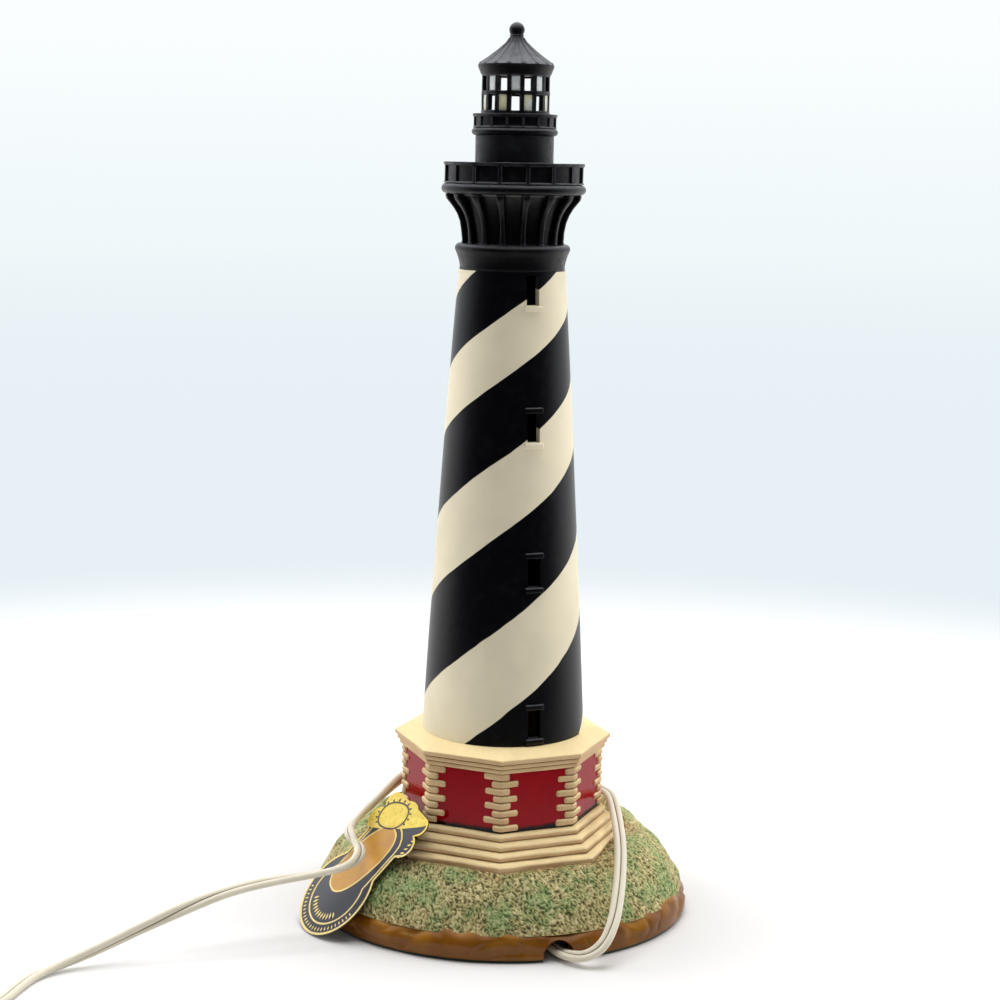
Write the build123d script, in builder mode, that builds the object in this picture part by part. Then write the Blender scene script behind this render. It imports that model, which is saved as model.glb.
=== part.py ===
from build123d import *
import os
from math import cos, pi, radians, sin, tan

os.makedirs("parts", exist_ok=True)

# A table lamp in the form of a striped lighthouse on a grassy hill.
# Millimetres and degrees. The origin is on the table under the tower's axis, -Y faces the viewer.

# Base
BASE_HALF_WIDTH = 82.5
BASE_HALF_DEPTH = 75.0
BASE_WALL = 5.5
FELT_THICK = 1.0
FELT_WIDTH = 3.5
FELT_INSET = 0.8
RIM_HEIGHT = 10.0
RIM_BULGE_HEIGHT = 5.0
RIM_FOOT_INSET = 1.2
RIM_TOP_INSET = 2.2
HILL_LEDGE = 0.5
HILL_RISE = 28.0
SLOPE_LOW_RISE = 10.5
SLOPE_LOW_INSET = (8.6, 9.2, 5.5)
SLOPE_HIGH_RISE = 20.0
SLOPE_HIGH_INSET = (18.0, 18.7, 10.0)
CROWN_INSET = (28.5, 33.0, 17.0)
MOUND_COUNT = 30
MOUND_TURN = 137.5
MOUND_LOW_RISE = 4.0
MOUND_HIGH_RISE = 21.5
MOUND_RADIUS = 15.0
MOUND_HEIGHT = 1.0
MOUND_CUT = 55.0
MOUND_CORD_GAP = 14.0
MOUND_TAG_GAP = 30.0
NOTCH_WIDTH = 12.5
NOTCH_HEIGHT = 9.0
NOTCH_TURN = -70.5
ROOF_THICK = 5.0
ROOF_HOLE_RADIUS = 20.0

# Steps
PLINTH_SINK = 11.5
STEP_COUNT = 4
STEP_RISE = 3.4
STEP_TREAD = 3.0
TOP_STEP_RADIUS = 46.0
LOWEST_STEP_RISE = 7.3
PLINTH_WALL = 5.0
POCKET_CLEARANCE = 0.15
LOCATOR_HEIGHT = 4.0
LOCATOR_WALL = 3.5
LOCATOR_CLEARANCE = 0.5

# House
SIDES = 8
HOUSE_RADIUS = 43.2
HOUSE_WALL = 4.0
HOUSE_HEIGHT = 26.0
QUOIN_PROUD = 1.2
QUOIN_COURSES = 8
QUOIN_FOOT_GAP = 0.7
QUOIN_GAP = 0.2
QUOIN_LONG = 8.0
QUOIN_SHORT = 4.3
QUOIN_ROUND = 0.9
CORNICE_LAYERS = 3
CORNICE_LAYER_HEIGHT = 2.2
CORNICE_STEP_OUT = 1.1
CORNICE_EDGE_RADIUS = 47.2
CORNICE_SLOPE_RISE = 2.6
CORNICE_LIP_ROUND = 0.6

# Tower
TOWER_HEIGHT = 198.0
TOWER_FOOT_RADIUS = 35.2
TOWER_HEAD_RADIUS = 22.6
TOWER_BULGE = 0.4
TOWER_WALL = 4.0
CORNICE_TOP_MARGIN = 1.6
WINDOW_TURN = -67.5
WINDOW_WIDTH = 5.6
WINDOW_HEIGHT = 12.2
WINDOW_FOOT_MARGIN = 3.2
WINDOW_HEAD_MARGIN = 1.4
WINDOW_SHARES = (0, 0.354305, 0.68819, 1)
TRIM_WIDTH = 8.3
TRIM_HEIGHT = 2.4
TRIM_PROUD = 1.1

# Gallery
COLLAR_HEIGHT = 10.8
COLLAR_FOOT_INSET = 0.8
COLLAR_LIP_PROUD = 1.3
COLLAR_LIP_HEIGHT = 4.2
COLLAR_LIP_BULGE = 0.5
HEAD_WALL = 4.5
BELL_HEIGHT = 20.5
BELL_FOOT_RADIUS = 19.4
BELL_HEAD_RADIUS = 26.0
GALLERY_PANELS = 16
BRACKET_THICK = 2.6
BRACKET_FOOT_RADIUS = 21.7
BRACKET_MID_RADIUS = 23.6
BRACKET_MID_SHARE = 0.55
BRACKET_HEAD_RADIUS = 28.5
BRACKET_HEAD_HEIGHT = 2.2
DECK_THICK = 4.5
DECK_RADIUS = 30.3
LIP_ROUND_SHARE = 0.45
RAIL_HEIGHT = 8.6
RAIL_RADIUS = 29.3
RAIL_WALL = 2.4
RAIL_CAP_HEIGHT = 1.0
RAIL_CAP_PROUD = 0.2
POST_WIDTH = 3.0
PANEL_DEPTH = 0.6
PANEL_MARGIN = 1.2

# Lantern
DRUM_RADIUS = 16.4
DRUM_HEIGHT = 19.6
DRUM_WALL = 3.0
LANTERN_DECK_RADIUS = 18.0
LANTERN_DECK_THICK = 3.2
LANTERN_RAIL_RADIUS = 17.4
LANTERN_RAIL_HEIGHT = 5.7
LANTERN_RAIL_WALL = 1.6
LANTERN_RADIUS = 14.25
LANTERN_WALL = 2.0
LANTERN_HEIGHT = 21.6
LANTERN_PANES = 16
PANE_WIDTH = 3.9
PANE_CLEARANCE = 0.05
PANE_THICK = 1.2
LOWER_PANE_FOOT = 7.0
LOWER_PANE_HEIGHT = 6.4
UPPER_PANE_FOOT = 15.0
UPPER_PANE_HEIGHT = 5.9
FASCIA_HEIGHT = 4.7
FASCIA_FOOT_RADIUS = 14.6
FASCIA_RADIUS = 15.9
FASCIA_WIDE_HEIGHT = 3.1
ROOF_EDGE_RADIUS = 15.4
ROOF_RISE = 10.9
ROOF_WAIST_RADIUS = 5.0
ROOF_WAIST_DROP = 3.0
ROOF_TOP_RADIUS = 2.7
FINIAL_RADIUS = 3.25
FINIAL_CENTRE_RISE = 2.75
FINIAL_RING_RADIUS = 2.9
FINIAL_RING_HEIGHT = 1.0

# Lamp socket, candelabra size
SOCKET_HOLE_RADIUS = 13.0
CLIP_THICK = 0.8
CLIP_FLANGE_RADIUS = 18.0
CLIP_LEGS = 4
CLIP_LEG_SPREAD = 36.0
CLIP_LEG_LENGTH = 14.0
CLIP_BEND_SHARE = 0.6
CLIP_CLEARANCE = 0.3
SOCKET_RADIUS = 9.5
SOCKET_DROP = 23.0
SOCKET_FLANGE_RADIUS = 12.5
SOCKET_FLANGE_HEIGHT = 2.2
SOCKET_NECK_HEIGHT = 4.0
SOCKET_FLOOR = 4.0
SHELL_RADIUS = 6.8
SHELL_WALL = 0.6
SHELL_CLEARANCE = 0.05
SHELL_DROP = 1.0
CONTACT_RADIUS = 3.5
CONTACT_THICK = 1.0

# Bulb, night light size
BULB_CAP_RADIUS = 5.85
BULB_CAP_HEIGHT = 15.0
BULB_CAP_WALL = 0.5
THREAD_PITCH = 2.54
THREAD_DEPTH = 0.45
THREAD_TURNS = 4
THREAD_FIRST_RIDGE = 1.9
THREAD_RIDGE_HALF = 0.85
BULB_TIP_RADIUS = 2.4
BULB_TIP_HEIGHT = 1.4
BULB_TIP_CLEARANCE = 0.2
BULB_INSULATOR_HEIGHT = 1.6
BULB_INSULATOR_FOOT_RADIUS = 3.0
BULB_GLASS_RADIUS = 11.0
BULB_GLASS_HEIGHT = 43.0
BULB_GLASS_WALL = 0.7
BULB_NECK_DEPTH = 4.0
BULB_WIDEST_SHARE = 0.4
BULB_FIT = 0.1
BULB_CROWN_RADIUS = 3.0
STEM_RADIUS = 2.0
STEM_HEIGHT = 16.0
STEM_FOOT_HEIGHT = 1.5
FILAMENT_RADIUS = 0.3
FILAMENT_RISE = 11.0
FILAMENT_SPREAD = 5.0
FILAMENT_FOOT = 1.2
FILAMENT_ROUND = 1.6

# Cord: the round tube has the section area of the flat twin cord
CORD_DIAMETER = 4.1
CORD_FILLET_SHARE = 0.45
LEAD_LEVEL = 3.2
ROUTE = [
    (19.1, -53.94, 3.2),
    (22.63, -63.9, 3.2),
    (28.5, -72.0, 3.4),
    (36.0, -76.4, 4.8),
    (43.0, -75.4, 9.6),
    (47.0, -69.4, 17.0),
    (49.0, -60.5, 24.6),
    (50.3, -49.8, 32.2),
    (50.8, -38.0, 39.5),
    (49.8, -24.5, 45.8),
    (48.6, -11.0, 49.8),
    (47.8, 3.0, 48.8),
    (45.0, 18.0, 46.0),
    (36.4, 33.4, 46.4),
    (21.0, 43.5, 47.4),
    (4.0, 49.6, 48.4),
    (-14.0, 46.8, 49.2),
    (-31.5, 38.6, 50.2),
    (-41.5, 24.0, 51.0),
    (-48.0, 8.5, 49.8),
    (-54.5, -4.0, 46.2),
    (-61.0, -14.0, 42.5),
    (-64.2, -21.5, 40.4),
    (-65.0, -28.0, 39.0),
    (-61.4, -34.0, 37.4),
    (-58.6, -39.5, 35.2),
    (-60.4, -45.0, 32.4),
    (-67.0, -48.5, 29.8),
    (-79.0, -52.0, 28.2),
    (-93.0, -57.0, 27.6),
    (-110.0, -63.4, 25.4),
    (-127.0, -70.2, 20.4),
    (-145.0, -77.8, 13.6),
    (-162.0, -84.6, 6.6),
    (-175.5, -91.2, 2.5),
    (-183.5, -100.0, 2.1),
    (-187.0, -111.5, 2.1),
    (-189.8, -124.0, 2.1),
    (-194.5, -136.5, 2.2),
    (-204.5, -147.5, 3.6),
    (-217.5, -153.0, 7.5),
    (-228.5, -153.0, 7.5),
]
SWITCH_LEAD = [
    (-282.5, -153.0, 7.5),
    (-294.0, -153.0, 7.5),
    (-306.0, -147.5, 6.0),
    (-313.5, -137.0, 4.8),
    (-316.0, -125.0, 4.2),
    (-315.6, -113.0, 4.2),
]
PLUG_LEAD = [
    (-282.0, -66.4, 8.0),
    (-274.0, -66.2, 7.6),
    (-265.0, -66.0, 6.5),
    (-256.0, -66.0, 6.5),
]

# Coil of the cord's unseen length
COIL_CENTRE = (-282.0, -100.0)
COIL_RADIUS = 29.0
COIL_HALF_WIDTH = 8.6
COIL_HEIGHT = 11.0
COIL_ROUND = 2.0
TIE_TURN = 250.0
TIE_WIDTH = 6.0
TIE_THICK = 0.9

# Roller switch on the cord
SWITCH_LENGTH = 54.0
SWITCH_WIDTH = 21.0
SWITCH_HEIGHT = 15.0
SWITCH_ROUND = 3.0
SWITCH_SPLIT = 7.5
WHEEL_RADIUS = 11.6
WHEEL_THICK = 5.0
WHEEL_CLEARANCE = 0.4
WHEEL_TEETH = 36
WHEEL_TOOTH = 0.4
AXLE_RADIUS = 2.5
AXLE_CLEARANCE = 0.05
SCREW_RADIUS = 1.5
SCREW_HEAD_RADIUS = 2.6
SCREW_HEAD_HEIGHT = 1.6
SCREW_CLEARANCE = 0.05
SCREW_DEPTH = 11.0
SCREW_SLOT = 0.6

# Plug with two flat blades
PLUG_LENGTH = 25.0
PLUG_WIDTH = 25.0
PLUG_HEIGHT = 13.0
PLUG_GRIP_WIDTH = 20.0
PLUG_GRIP_HEIGHT = 11.7
PLUG_TAIL_WIDTH = 10.0
PLUG_TAIL_HEIGHT = 9.0
PLUG_ROUND = 1.5
BLADE_LENGTH = 16.0
BLADE_ROOT = 5.0
BLADE_WIDTH = 6.35
BLADE_THICK = 1.5
BLADE_SPACING = 12.7
BLADE_HOLE_RADIUS = 1.6
BLADE_HOLE_FROM_TIP = 4.0

# Hang tag
TAG_FOOT = (-81.9, -41.9, 0.6)
TAG_FACING = 214.0
TAG_LEAN = 47.2
TAG_TILT = 10.0
TAG_LENGTH = 70.5
TAG_FOOT_RADIUS = 20.5
TAG_WAIST = 14.5
TAG_SHOULDER_RADIUS = 5.5
TAG_SHOULDER_DROP = 16.0
TAG_EAR_RADIUS = 4.5
TAG_EAR_REACH = 13.7
TAG_EAR_DROP = 6.0
TAG_CROWN_RADIUS = 8.5
TAG_THICK = 0.8

# Levels, counted up from the table
rim_top = FELT_THICK + RIM_HEIGHT
crown_top = rim_top + HILL_RISE
plinth_seat = crown_top - PLINTH_SINK
plinth_top = plinth_seat + LOWEST_STEP_RISE + (STEP_COUNT - 1) * STEP_RISE
house_top = plinth_top + HOUSE_HEIGHT
cornice_edge = house_top + CORNICE_LAYERS * CORNICE_LAYER_HEIGHT
tower_foot = cornice_edge + CORNICE_SLOPE_RISE
tower_head = tower_foot + TOWER_HEIGHT
collar_top = tower_head + COLLAR_HEIGHT
bell_top = collar_top + BELL_HEIGHT
deck_top = bell_top + DECK_THICK
drum_top = deck_top + DRUM_HEIGHT
lantern_deck_top = drum_top + LANTERN_DECK_THICK
lantern_top = lantern_deck_top + LANTERN_HEIGHT
roof_edge = lantern_top + FASCIA_HEIGHT
roof_top = roof_edge + ROOF_RISE
cavity_top = plinth_seat - ROOF_THICK

# Shared radii
flat_share = cos(pi / SIDES)
plinth_radius = TOP_STEP_RADIUS + (STEP_COUNT - 1) * STEP_TREAD
house_inner_flat = HOUSE_RADIUS * flat_share - HOUSE_WALL
locator_radius = house_inner_flat - LOCATOR_CLEARANCE
tower_foot_bore = TOWER_FOOT_RADIUS - TOWER_WALL
tower_head_bore = TOWER_HEAD_RADIUS - TOWER_WALL
bell_foot_bore = BELL_FOOT_RADIUS - HEAD_WALL
drum_bore = DRUM_RADIUS - DRUM_WALL
lantern_bore = LANTERN_RADIUS - LANTERN_WALL


def keep(piece, name):
    """Label a finished piece and write it as its own file."""
    piece.part.label = name
    export_step(piece.part, f"parts/{name}.step")


def ring_at(level, height, outer, inner, mode=Mode.ADD):
    """Flat round ring standing on a level."""
    with BuildSketch(Plane.XY.offset(level)) as ring:
        Circle(outer)
        Circle(inner, mode=Mode.SUBTRACT)
    extrude(ring.sketch, amount=height, mode=mode)


def disc_at(level, height, radius, mode=Mode.ADD):
    """Flat round disc standing on a level."""
    with BuildSketch(Plane.XY.offset(level)) as disc:
        Circle(radius)
    extrude(disc.sketch, amount=height, mode=mode)


def octagon_at(level, height, radius, mode=Mode.ADD):
    """Octagonal slab with a corner facing the viewer."""
    with BuildSketch(Plane.XY.offset(level)) as slab:
        RegularPolygon(radius, SIDES)
    extrude(slab.sketch, amount=height, mode=mode)


def turned(points, mode=Mode.ADD):
    """Solid of revolution about the tower's axis, from (radius, level) points."""
    with BuildSketch(Plane.XZ) as profile:
        with BuildLine():
            Polyline(points, close=True)
        make_face()
    revolve(profile.sketch, axis=Axis.Z, mode=mode)


def radial_plane(turn, reach, level):
    """Plane square to a radius, its x to the right of someone who looks at the axis."""
    angle = radians(turn)
    outward = Vector(cos(angle), sin(angle), 0)
    sideways = Vector(-sin(angle), cos(angle), 0)
    return Plane(origin=outward * reach + Vector(0, 0, level), x_dir=sideways, z_dir=outward)


def tower_radius(rise):
    """Outer radius of the tower at a height above its foot."""
    share = rise / TOWER_HEIGHT
    straight = TOWER_FOOT_RADIUS + (TOWER_HEAD_RADIUS - TOWER_FOOT_RADIUS) * share
    return straight + 4 * TOWER_BULGE * share * (1 - share)


def corner_radii(points):
    """Largest fillet radius at each inner point of a cord's route."""
    spots = [Vector(*point) for point in points]
    radii = []
    for before, here, after in zip(spots, spots[1:], spots[2:]):
        turn = radians((here - before).get_angle(after - here))
        shorter = min((here - before).length, (after - here).length)
        radii.append(CORD_FILLET_SHARE * shorter / tan(turn / 2))
    return radii


def sweep_cord(points, name):
    """Round tube along straight runs joined by tangent arcs."""
    radii = corner_radii(points)
    with BuildPart() as tube:
        with BuildLine() as path:
            FilletPolyline(*points, radius=radii)
        with BuildSketch(Plane(origin=path.line @ 0, z_dir=path.line % 0)):
            Circle(CORD_DIAMETER / 2)
        sweep()
    length = path.wire().length
    expected = pi * CORD_DIAMETER**2 / 4 * length
    print(name, "length", round(length, 1), "volume share", round(tube.part.volume / expected, 4))
    print(name, "radii", [round(radius, 1) for radius in radii])
    keep(tube, name)


# Hill: sections are ovals whose half width, front reach and back reach shrink going up
def hill_oval(level, insets, shrink=0.0):
    """One oval section of the hill, inset at the sides, the front and the back."""
    side, front, back = insets
    front_reach = BASE_HALF_DEPTH - front - shrink
    back_reach = BASE_HALF_DEPTH - back - shrink
    with BuildSketch(Plane.XY.offset(level)) as oval:
        with Locations((0, (back_reach - front_reach) / 2)):
            Ellipse(BASE_HALF_WIDTH - side - shrink, (front_reach + back_reach) / 2)
    return oval.sketch


rim_foot_inset = (RIM_FOOT_INSET,) * 3
rim_top_inset = (RIM_TOP_INSET,) * 3
grass_foot_inset = (RIM_TOP_INSET + HILL_LEDGE,) * 3


def notch_outline(plane, height):
    """Arched opening standing on the table."""
    with BuildSketch(plane) as arch:
        with BuildLine():
            half = NOTCH_WIDTH / 2
            Polyline((-half, height - half), (-half, 0), (half, 0), (half, height - half))
            ThreePointArc((half, height - half), (0, height), (-half, height - half))
        make_face()
    return arch.sketch


notch_start = radial_plane(NOTCH_TURN, BASE_HALF_DEPTH / 2, 0)


def mound_planes(slope):
    """Planes on the slope where its mounds stand, clear of the cord and the tag."""
    planes = []
    for index in range(MOUND_COUNT):
        turn = index * MOUND_TURN
        share = (index + 0.5) / MOUND_COUNT
        level = rim_top + MOUND_LOW_RISE + (MOUND_HIGH_RISE - MOUND_LOW_RISE) * share
        outward = Axis((0, 0, level), (cos(radians(turn)), sin(radians(turn)), 0))
        place, normal = slope.find_intersection_points(outward)[-1]
        near_cord = min((place - Vector(*spot)).length for spot in ROUTE) < MOUND_CORD_GAP
        near_tag = abs((turn - TAG_FACING + 180) % 360 - 180) < MOUND_TAG_GAP
        if not (near_cord or near_tag):
            planes.append(Plane(origin=place, z_dir=normal))
    return planes


with BuildPart() as hill_base:
    loft([
        hill_oval(FELT_THICK, rim_foot_inset),
        hill_oval(FELT_THICK + RIM_BULGE_HEIGHT, (0, 0, 0)),
        hill_oval(rim_top, rim_top_inset),
    ])
    grass_slope = loft([
        hill_oval(rim_top, grass_foot_inset),
        hill_oval(rim_top + SLOPE_LOW_RISE, SLOPE_LOW_INSET),
        hill_oval(rim_top + SLOPE_HIGH_RISE, SLOPE_HIGH_INSET),
        hill_oval(crown_top, CROWN_INSET),
    ])
    for plane in mound_planes(grass_slope):
        with Locations(plane.offset(MOUND_HEIGHT - MOUND_RADIUS).location):
            Sphere(MOUND_RADIUS, arc_size1=MOUND_CUT, align=None)
    loft([
        hill_oval(FELT_THICK, rim_top_inset, BASE_WALL),
        hill_oval(cavity_top, SLOPE_LOW_INSET, BASE_WALL),
    ], ruled=True, mode=Mode.SUBTRACT)
    octagon_at(plinth_seat, crown_top - plinth_seat, plinth_radius + POCKET_CLEARANCE, Mode.SUBTRACT)
    disc_at(cavity_top, ROOF_THICK, ROOF_HOLE_RADIUS, Mode.SUBTRACT)
    extrude(notch_outline(notch_start, NOTCH_HEIGHT), amount=BASE_HALF_WIDTH, mode=Mode.SUBTRACT)
keep(hill_base, "hill_base")

# Felt ring under the rim, open at the notch
with BuildPart() as base_felt:
    extrude(hill_oval(0, rim_foot_inset, FELT_INSET), amount=FELT_THICK)
    extrude(hill_oval(0, rim_foot_inset, FELT_INSET + FELT_WIDTH), amount=FELT_THICK, mode=Mode.SUBTRACT)
    extrude(notch_outline(notch_start, NOTCH_HEIGHT), amount=BASE_HALF_WIDTH, mode=Mode.SUBTRACT)
keep(base_felt, "base_felt")

# Octagonal steps with a round locating ring for the house
with BuildPart() as step_plinth:
    octagon_at(plinth_seat, LOWEST_STEP_RISE, plinth_radius)
    for step in range(1, STEP_COUNT):
        level = plinth_seat + LOWEST_STEP_RISE + (step - 1) * STEP_RISE
        octagon_at(level, STEP_RISE, plinth_radius - step * STEP_TREAD)
    hollow_height = plinth_top - PLINTH_WALL - plinth_seat
    octagon_at(plinth_seat, hollow_height, TOP_STEP_RADIUS - PLINTH_WALL, Mode.SUBTRACT)
    ring_at(plinth_top, LOCATOR_HEIGHT, locator_radius, locator_radius - LOCATOR_WALL)
    disc_at(plinth_seat, plinth_top - plinth_seat, SOCKET_HOLE_RADIUS, Mode.SUBTRACT)
keep(step_plinth, "step_plinth")

# Red octagonal wall
with BuildPart() as house_wall:
    octagon_at(plinth_top, HOUSE_HEIGHT, HOUSE_RADIUS)
    octagon_at(plinth_top, HOUSE_HEIGHT, house_inner_flat / flat_share, Mode.SUBTRACT)
keep(house_wall, "house_wall")

# Corner stones: the long legs change sides from course to course and from corner to corner
quoin_pitch = (HOUSE_HEIGHT - QUOIN_FOOT_GAP) / QUOIN_COURSES
quoin_height = quoin_pitch - QUOIN_GAP
quoin_depth = QUOIN_PROUD * flat_share


def quoin_stone(left_leg, right_leg):
    """One corner stone on the octagon's corner that lies on +X, standing on the table's level."""
    outer_corner = Vector(HOUSE_RADIUS + QUOIN_PROUD, 0)
    inner_corner = Vector(HOUSE_RADIUS, 0)
    half_turn = 180 / SIDES
    left_run = Vector(0, 1).rotate(Axis.Z, half_turn)
    right_run = Vector(0, -1).rotate(Axis.Z, -half_turn)
    left_in = left_run.rotate(Axis.Z, 90) * quoin_depth
    right_in = right_run.rotate(Axis.Z, -90) * quoin_depth
    left_end = outer_corner + left_run * left_leg
    right_end = outer_corner + right_run * right_leg
    with BuildPart() as stone:
        with BuildSketch():
            with BuildLine():
                Polyline(
                    outer_corner,
                    left_end,
                    left_end + left_in,
                    inner_corner,
                    right_end + right_in,
                    right_end,
                    close=True,
                )
            make_face()
        extrude(amount=quoin_height)
        ends = stone.edges().filter_by(lambda edge: abs(edge.length - quoin_depth) < QUOIN_GAP / 2)
        fillet(ends, QUOIN_ROUND)
    return stone.part


left_long = quoin_stone(QUOIN_LONG, QUOIN_SHORT)
right_long = quoin_stone(QUOIN_SHORT, QUOIN_LONG)
quoin_foot = plinth_top + QUOIN_FOOT_GAP


def quoin_places(parity):
    """Places of every second stone, on all corners and courses."""
    places = []
    for corner in range(SIDES):
        for course in range(QUOIN_COURSES):
            if (corner + course) % 2 == parity:
                level = quoin_foot + course * quoin_pitch
                places.append(Location((0, 0, level), (0, 0, corner * 360 / SIDES)))
    return places


with BuildPart() as quoin_stones:
    with Locations(*quoin_places(0)):
        add(left_long)
    with Locations(*quoin_places(1)):
        add(right_long)
keep(quoin_stones, "quoin_stones")

# Layered cornice with a sloping top
with BuildPart() as house_cornice:
    for layer in range(CORNICE_LAYERS):
        step_in = (CORNICE_LAYERS - 1 - layer) * CORNICE_STEP_OUT
        level = house_top + layer * CORNICE_LAYER_HEIGHT
        octagon_at(level, CORNICE_LAYER_HEIGHT, CORNICE_EDGE_RADIUS - step_in)
    outer_edges = house_cornice.faces().filter_by(Axis.Z, reverse=True).edges().filter_by(Plane.XY)
    fillet(outer_edges.group_by(SortBy.LENGTH)[-1], CORNICE_LIP_ROUND)
    with BuildSketch(Plane.XY.offset(cornice_edge)) as slope_foot:
        RegularPolygon(CORNICE_EDGE_RADIUS - CORNICE_STEP_OUT, SIDES)
    with BuildSketch(Plane.XY.offset(tower_foot)) as slope_head:
        RegularPolygon((TOWER_FOOT_RADIUS + CORNICE_TOP_MARGIN) / flat_share, SIDES)
    loft([slope_foot.sketch, slope_head.sketch], ruled=True)
    disc_at(house_top, tower_foot - house_top, tower_foot_bore, Mode.SUBTRACT)
keep(house_cornice, "house_cornice")


# Tapered tower with a slight bulge
def tower_outline(inset):
    """Half section of the tower, filled to its axis."""
    middle = TOWER_HEIGHT / 2
    with BuildSketch(Plane.XZ) as half:
        with BuildLine():
            foot = (TOWER_FOOT_RADIUS - inset, tower_foot)
            head = (TOWER_HEAD_RADIUS - inset, tower_head)
            ThreePointArc(foot, (tower_radius(middle) - inset, tower_foot + middle), head)
            Polyline(head, (0, tower_head), (0, tower_foot), foot)
        make_face()
    return half.sketch


window_turns = (WINDOW_TURN, WINDOW_TURN + 180)
window_travel = TOWER_HEIGHT - WINDOW_HEAD_MARGIN - WINDOW_HEIGHT - WINDOW_FOOT_MARGIN
window_feet = [WINDOW_FOOT_MARGIN + share * window_travel for share in WINDOW_SHARES]

with BuildPart() as tower_core:
    revolve(tower_outline(0), axis=Axis.Z)

with BuildPart() as tower_shell:
    add(tower_core.part)
    revolve(tower_outline(TOWER_WALL), axis=Axis.Z, mode=Mode.SUBTRACT)
    window_planes = [
        radial_plane(turn, 0, tower_foot + foot)
        for turn in window_turns
        for foot in window_feet
    ]
    with BuildSketch(*window_planes) as openings:
        Rectangle(WINDOW_WIDTH, WINDOW_HEIGHT, align=(Align.CENTER, Align.MIN))
    extrude(openings.sketch, amount=TOWER_FOOT_RADIUS + TOWER_BULGE, mode=Mode.SUBTRACT)
keep(tower_shell, "tower_shell")

# Sills under the windows, and lintels over all but the highest ones
with BuildPart() as window_trim:
    for turn in window_turns:
        for foot in window_feet:
            levels = [foot - TRIM_HEIGHT]
            if foot != window_feet[-1]:
                levels.append(foot + WINDOW_HEIGHT)
            for level in levels:
                with BuildSketch(radial_plane(turn, 0, tower_foot + level)) as block:
                    Rectangle(TRIM_WIDTH, TRIM_HEIGHT, align=(Align.CENTER, Align.MIN))
                extrude(block.sketch, amount=tower_radius(level) + TRIM_PROUD)
    add(tower_core.part, mode=Mode.SUBTRACT)
keep(window_trim, "window_trim")

# Moulded collar at the tower's head
collar_foot_radius = TOWER_HEAD_RADIUS - COLLAR_FOOT_INSET
collar_lip_radius = TOWER_HEAD_RADIUS + COLLAR_LIP_PROUD
collar_lip_foot = collar_top - COLLAR_LIP_HEIGHT

with BuildPart() as gallery_collar:
    with BuildSketch(Plane.XZ) as section:
        with BuildLine():
            band_head = (collar_foot_radius, tower_head + COLLAR_LIP_HEIGHT)
            lip_foot = (collar_lip_radius, collar_lip_foot)
            lip_middle = (collar_lip_radius + COLLAR_LIP_BULGE, (collar_lip_foot + collar_top) / 2)
            lip_head = (collar_lip_radius, collar_top)
            Polyline(
                lip_head,
                (tower_head_bore, collar_top),
                (tower_head_bore, tower_head),
                (collar_foot_radius, tower_head),
                band_head,
            )
            Spline(band_head, lip_foot, tangents=((0, 1), (1, 1)))
            ThreePointArc(lip_foot, lip_middle, lip_head)
        make_face()
    revolve(section.sketch, axis=Axis.Z)
keep(gallery_collar, "gallery_collar")


# Flared bell under the gallery
def bell_outline(inset):
    """Half section of the bell, filled to its axis."""
    with BuildSketch(Plane.XZ) as half:
        with BuildLine():
            foot = (BELL_FOOT_RADIUS - inset, collar_top)
            head = (BELL_HEAD_RADIUS - inset, bell_top)
            Spline(foot, head, tangents=((0, 1), (1, 1)))
            Polyline(head, (0, bell_top), (0, collar_top), foot)
        make_face()
    return half.sketch


with BuildPart() as bell_core:
    revolve(bell_outline(0), axis=Axis.Z)

with BuildPart() as gallery_bell:
    add(bell_core.part)
    revolve(bell_outline(HEAD_WALL), axis=Axis.Z, mode=Mode.SUBTRACT)
keep(gallery_bell, "gallery_bell")

# Brackets under the deck, one under each post
panel_turn = 360 / GALLERY_PANELS
post_start = -90 + panel_turn / 2

with BuildPart() as bracket:
    with BuildSketch(Plane.XZ) as rib:
        with BuildLine():
            foot = (BRACKET_FOOT_RADIUS, collar_top)
            middle = (BRACKET_MID_RADIUS, collar_top + BRACKET_MID_SHARE * BELL_HEIGHT)
            head = (BRACKET_HEAD_RADIUS, bell_top - BRACKET_HEAD_HEIGHT)
            Spline(foot, middle, head)
            Polyline(
                head,
                (BRACKET_HEAD_RADIUS, bell_top),
                (bell_foot_bore, bell_top),
                (bell_foot_bore, collar_top),
                foot,
            )
        make_face()
    extrude(amount=BRACKET_THICK / 2, both=True)
    add(bell_core.part, mode=Mode.SUBTRACT)

with BuildPart() as gallery_brackets:
    with PolarLocations(0, GALLERY_PANELS, start_angle=post_start):
        add(bracket.part)
keep(gallery_brackets, "gallery_brackets")

# Deck with a round lip
with BuildPart() as gallery_deck:
    ring_at(bell_top, DECK_THICK, DECK_RADIUS, drum_bore)
    lip = gallery_deck.edges().filter_by(GeomType.CIRCLE).group_by(SortBy.RADIUS)[-1]
    fillet(lip, LIP_ROUND_SHARE * DECK_THICK)
keep(gallery_deck, "gallery_deck")


def panelled_ring(level, height, radius, wall):
    """Parapet with sunk panels between posts and a thin cap."""
    panel_height = height - RAIL_CAP_HEIGHT - 2 * PANEL_MARGIN
    panel_width = 2 * pi * radius / GALLERY_PANELS - POST_WIDTH * radius / RAIL_RADIUS
    middle = level + PANEL_MARGIN + panel_height / 2
    turns = [-90 + panel * panel_turn for panel in range(GALLERY_PANELS)]
    ring_at(level, height, radius, radius - wall)
    with BuildSketch(*[radial_plane(turn, radius - PANEL_DEPTH, middle) for turn in turns]) as sunk:
        RectangleRounded(panel_width, panel_height, PANEL_DEPTH)
    extrude(sunk.sketch, amount=wall, mode=Mode.SUBTRACT)
    ring_at(level + height - RAIL_CAP_HEIGHT, RAIL_CAP_HEIGHT, radius + RAIL_CAP_PROUD, radius - wall)


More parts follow.
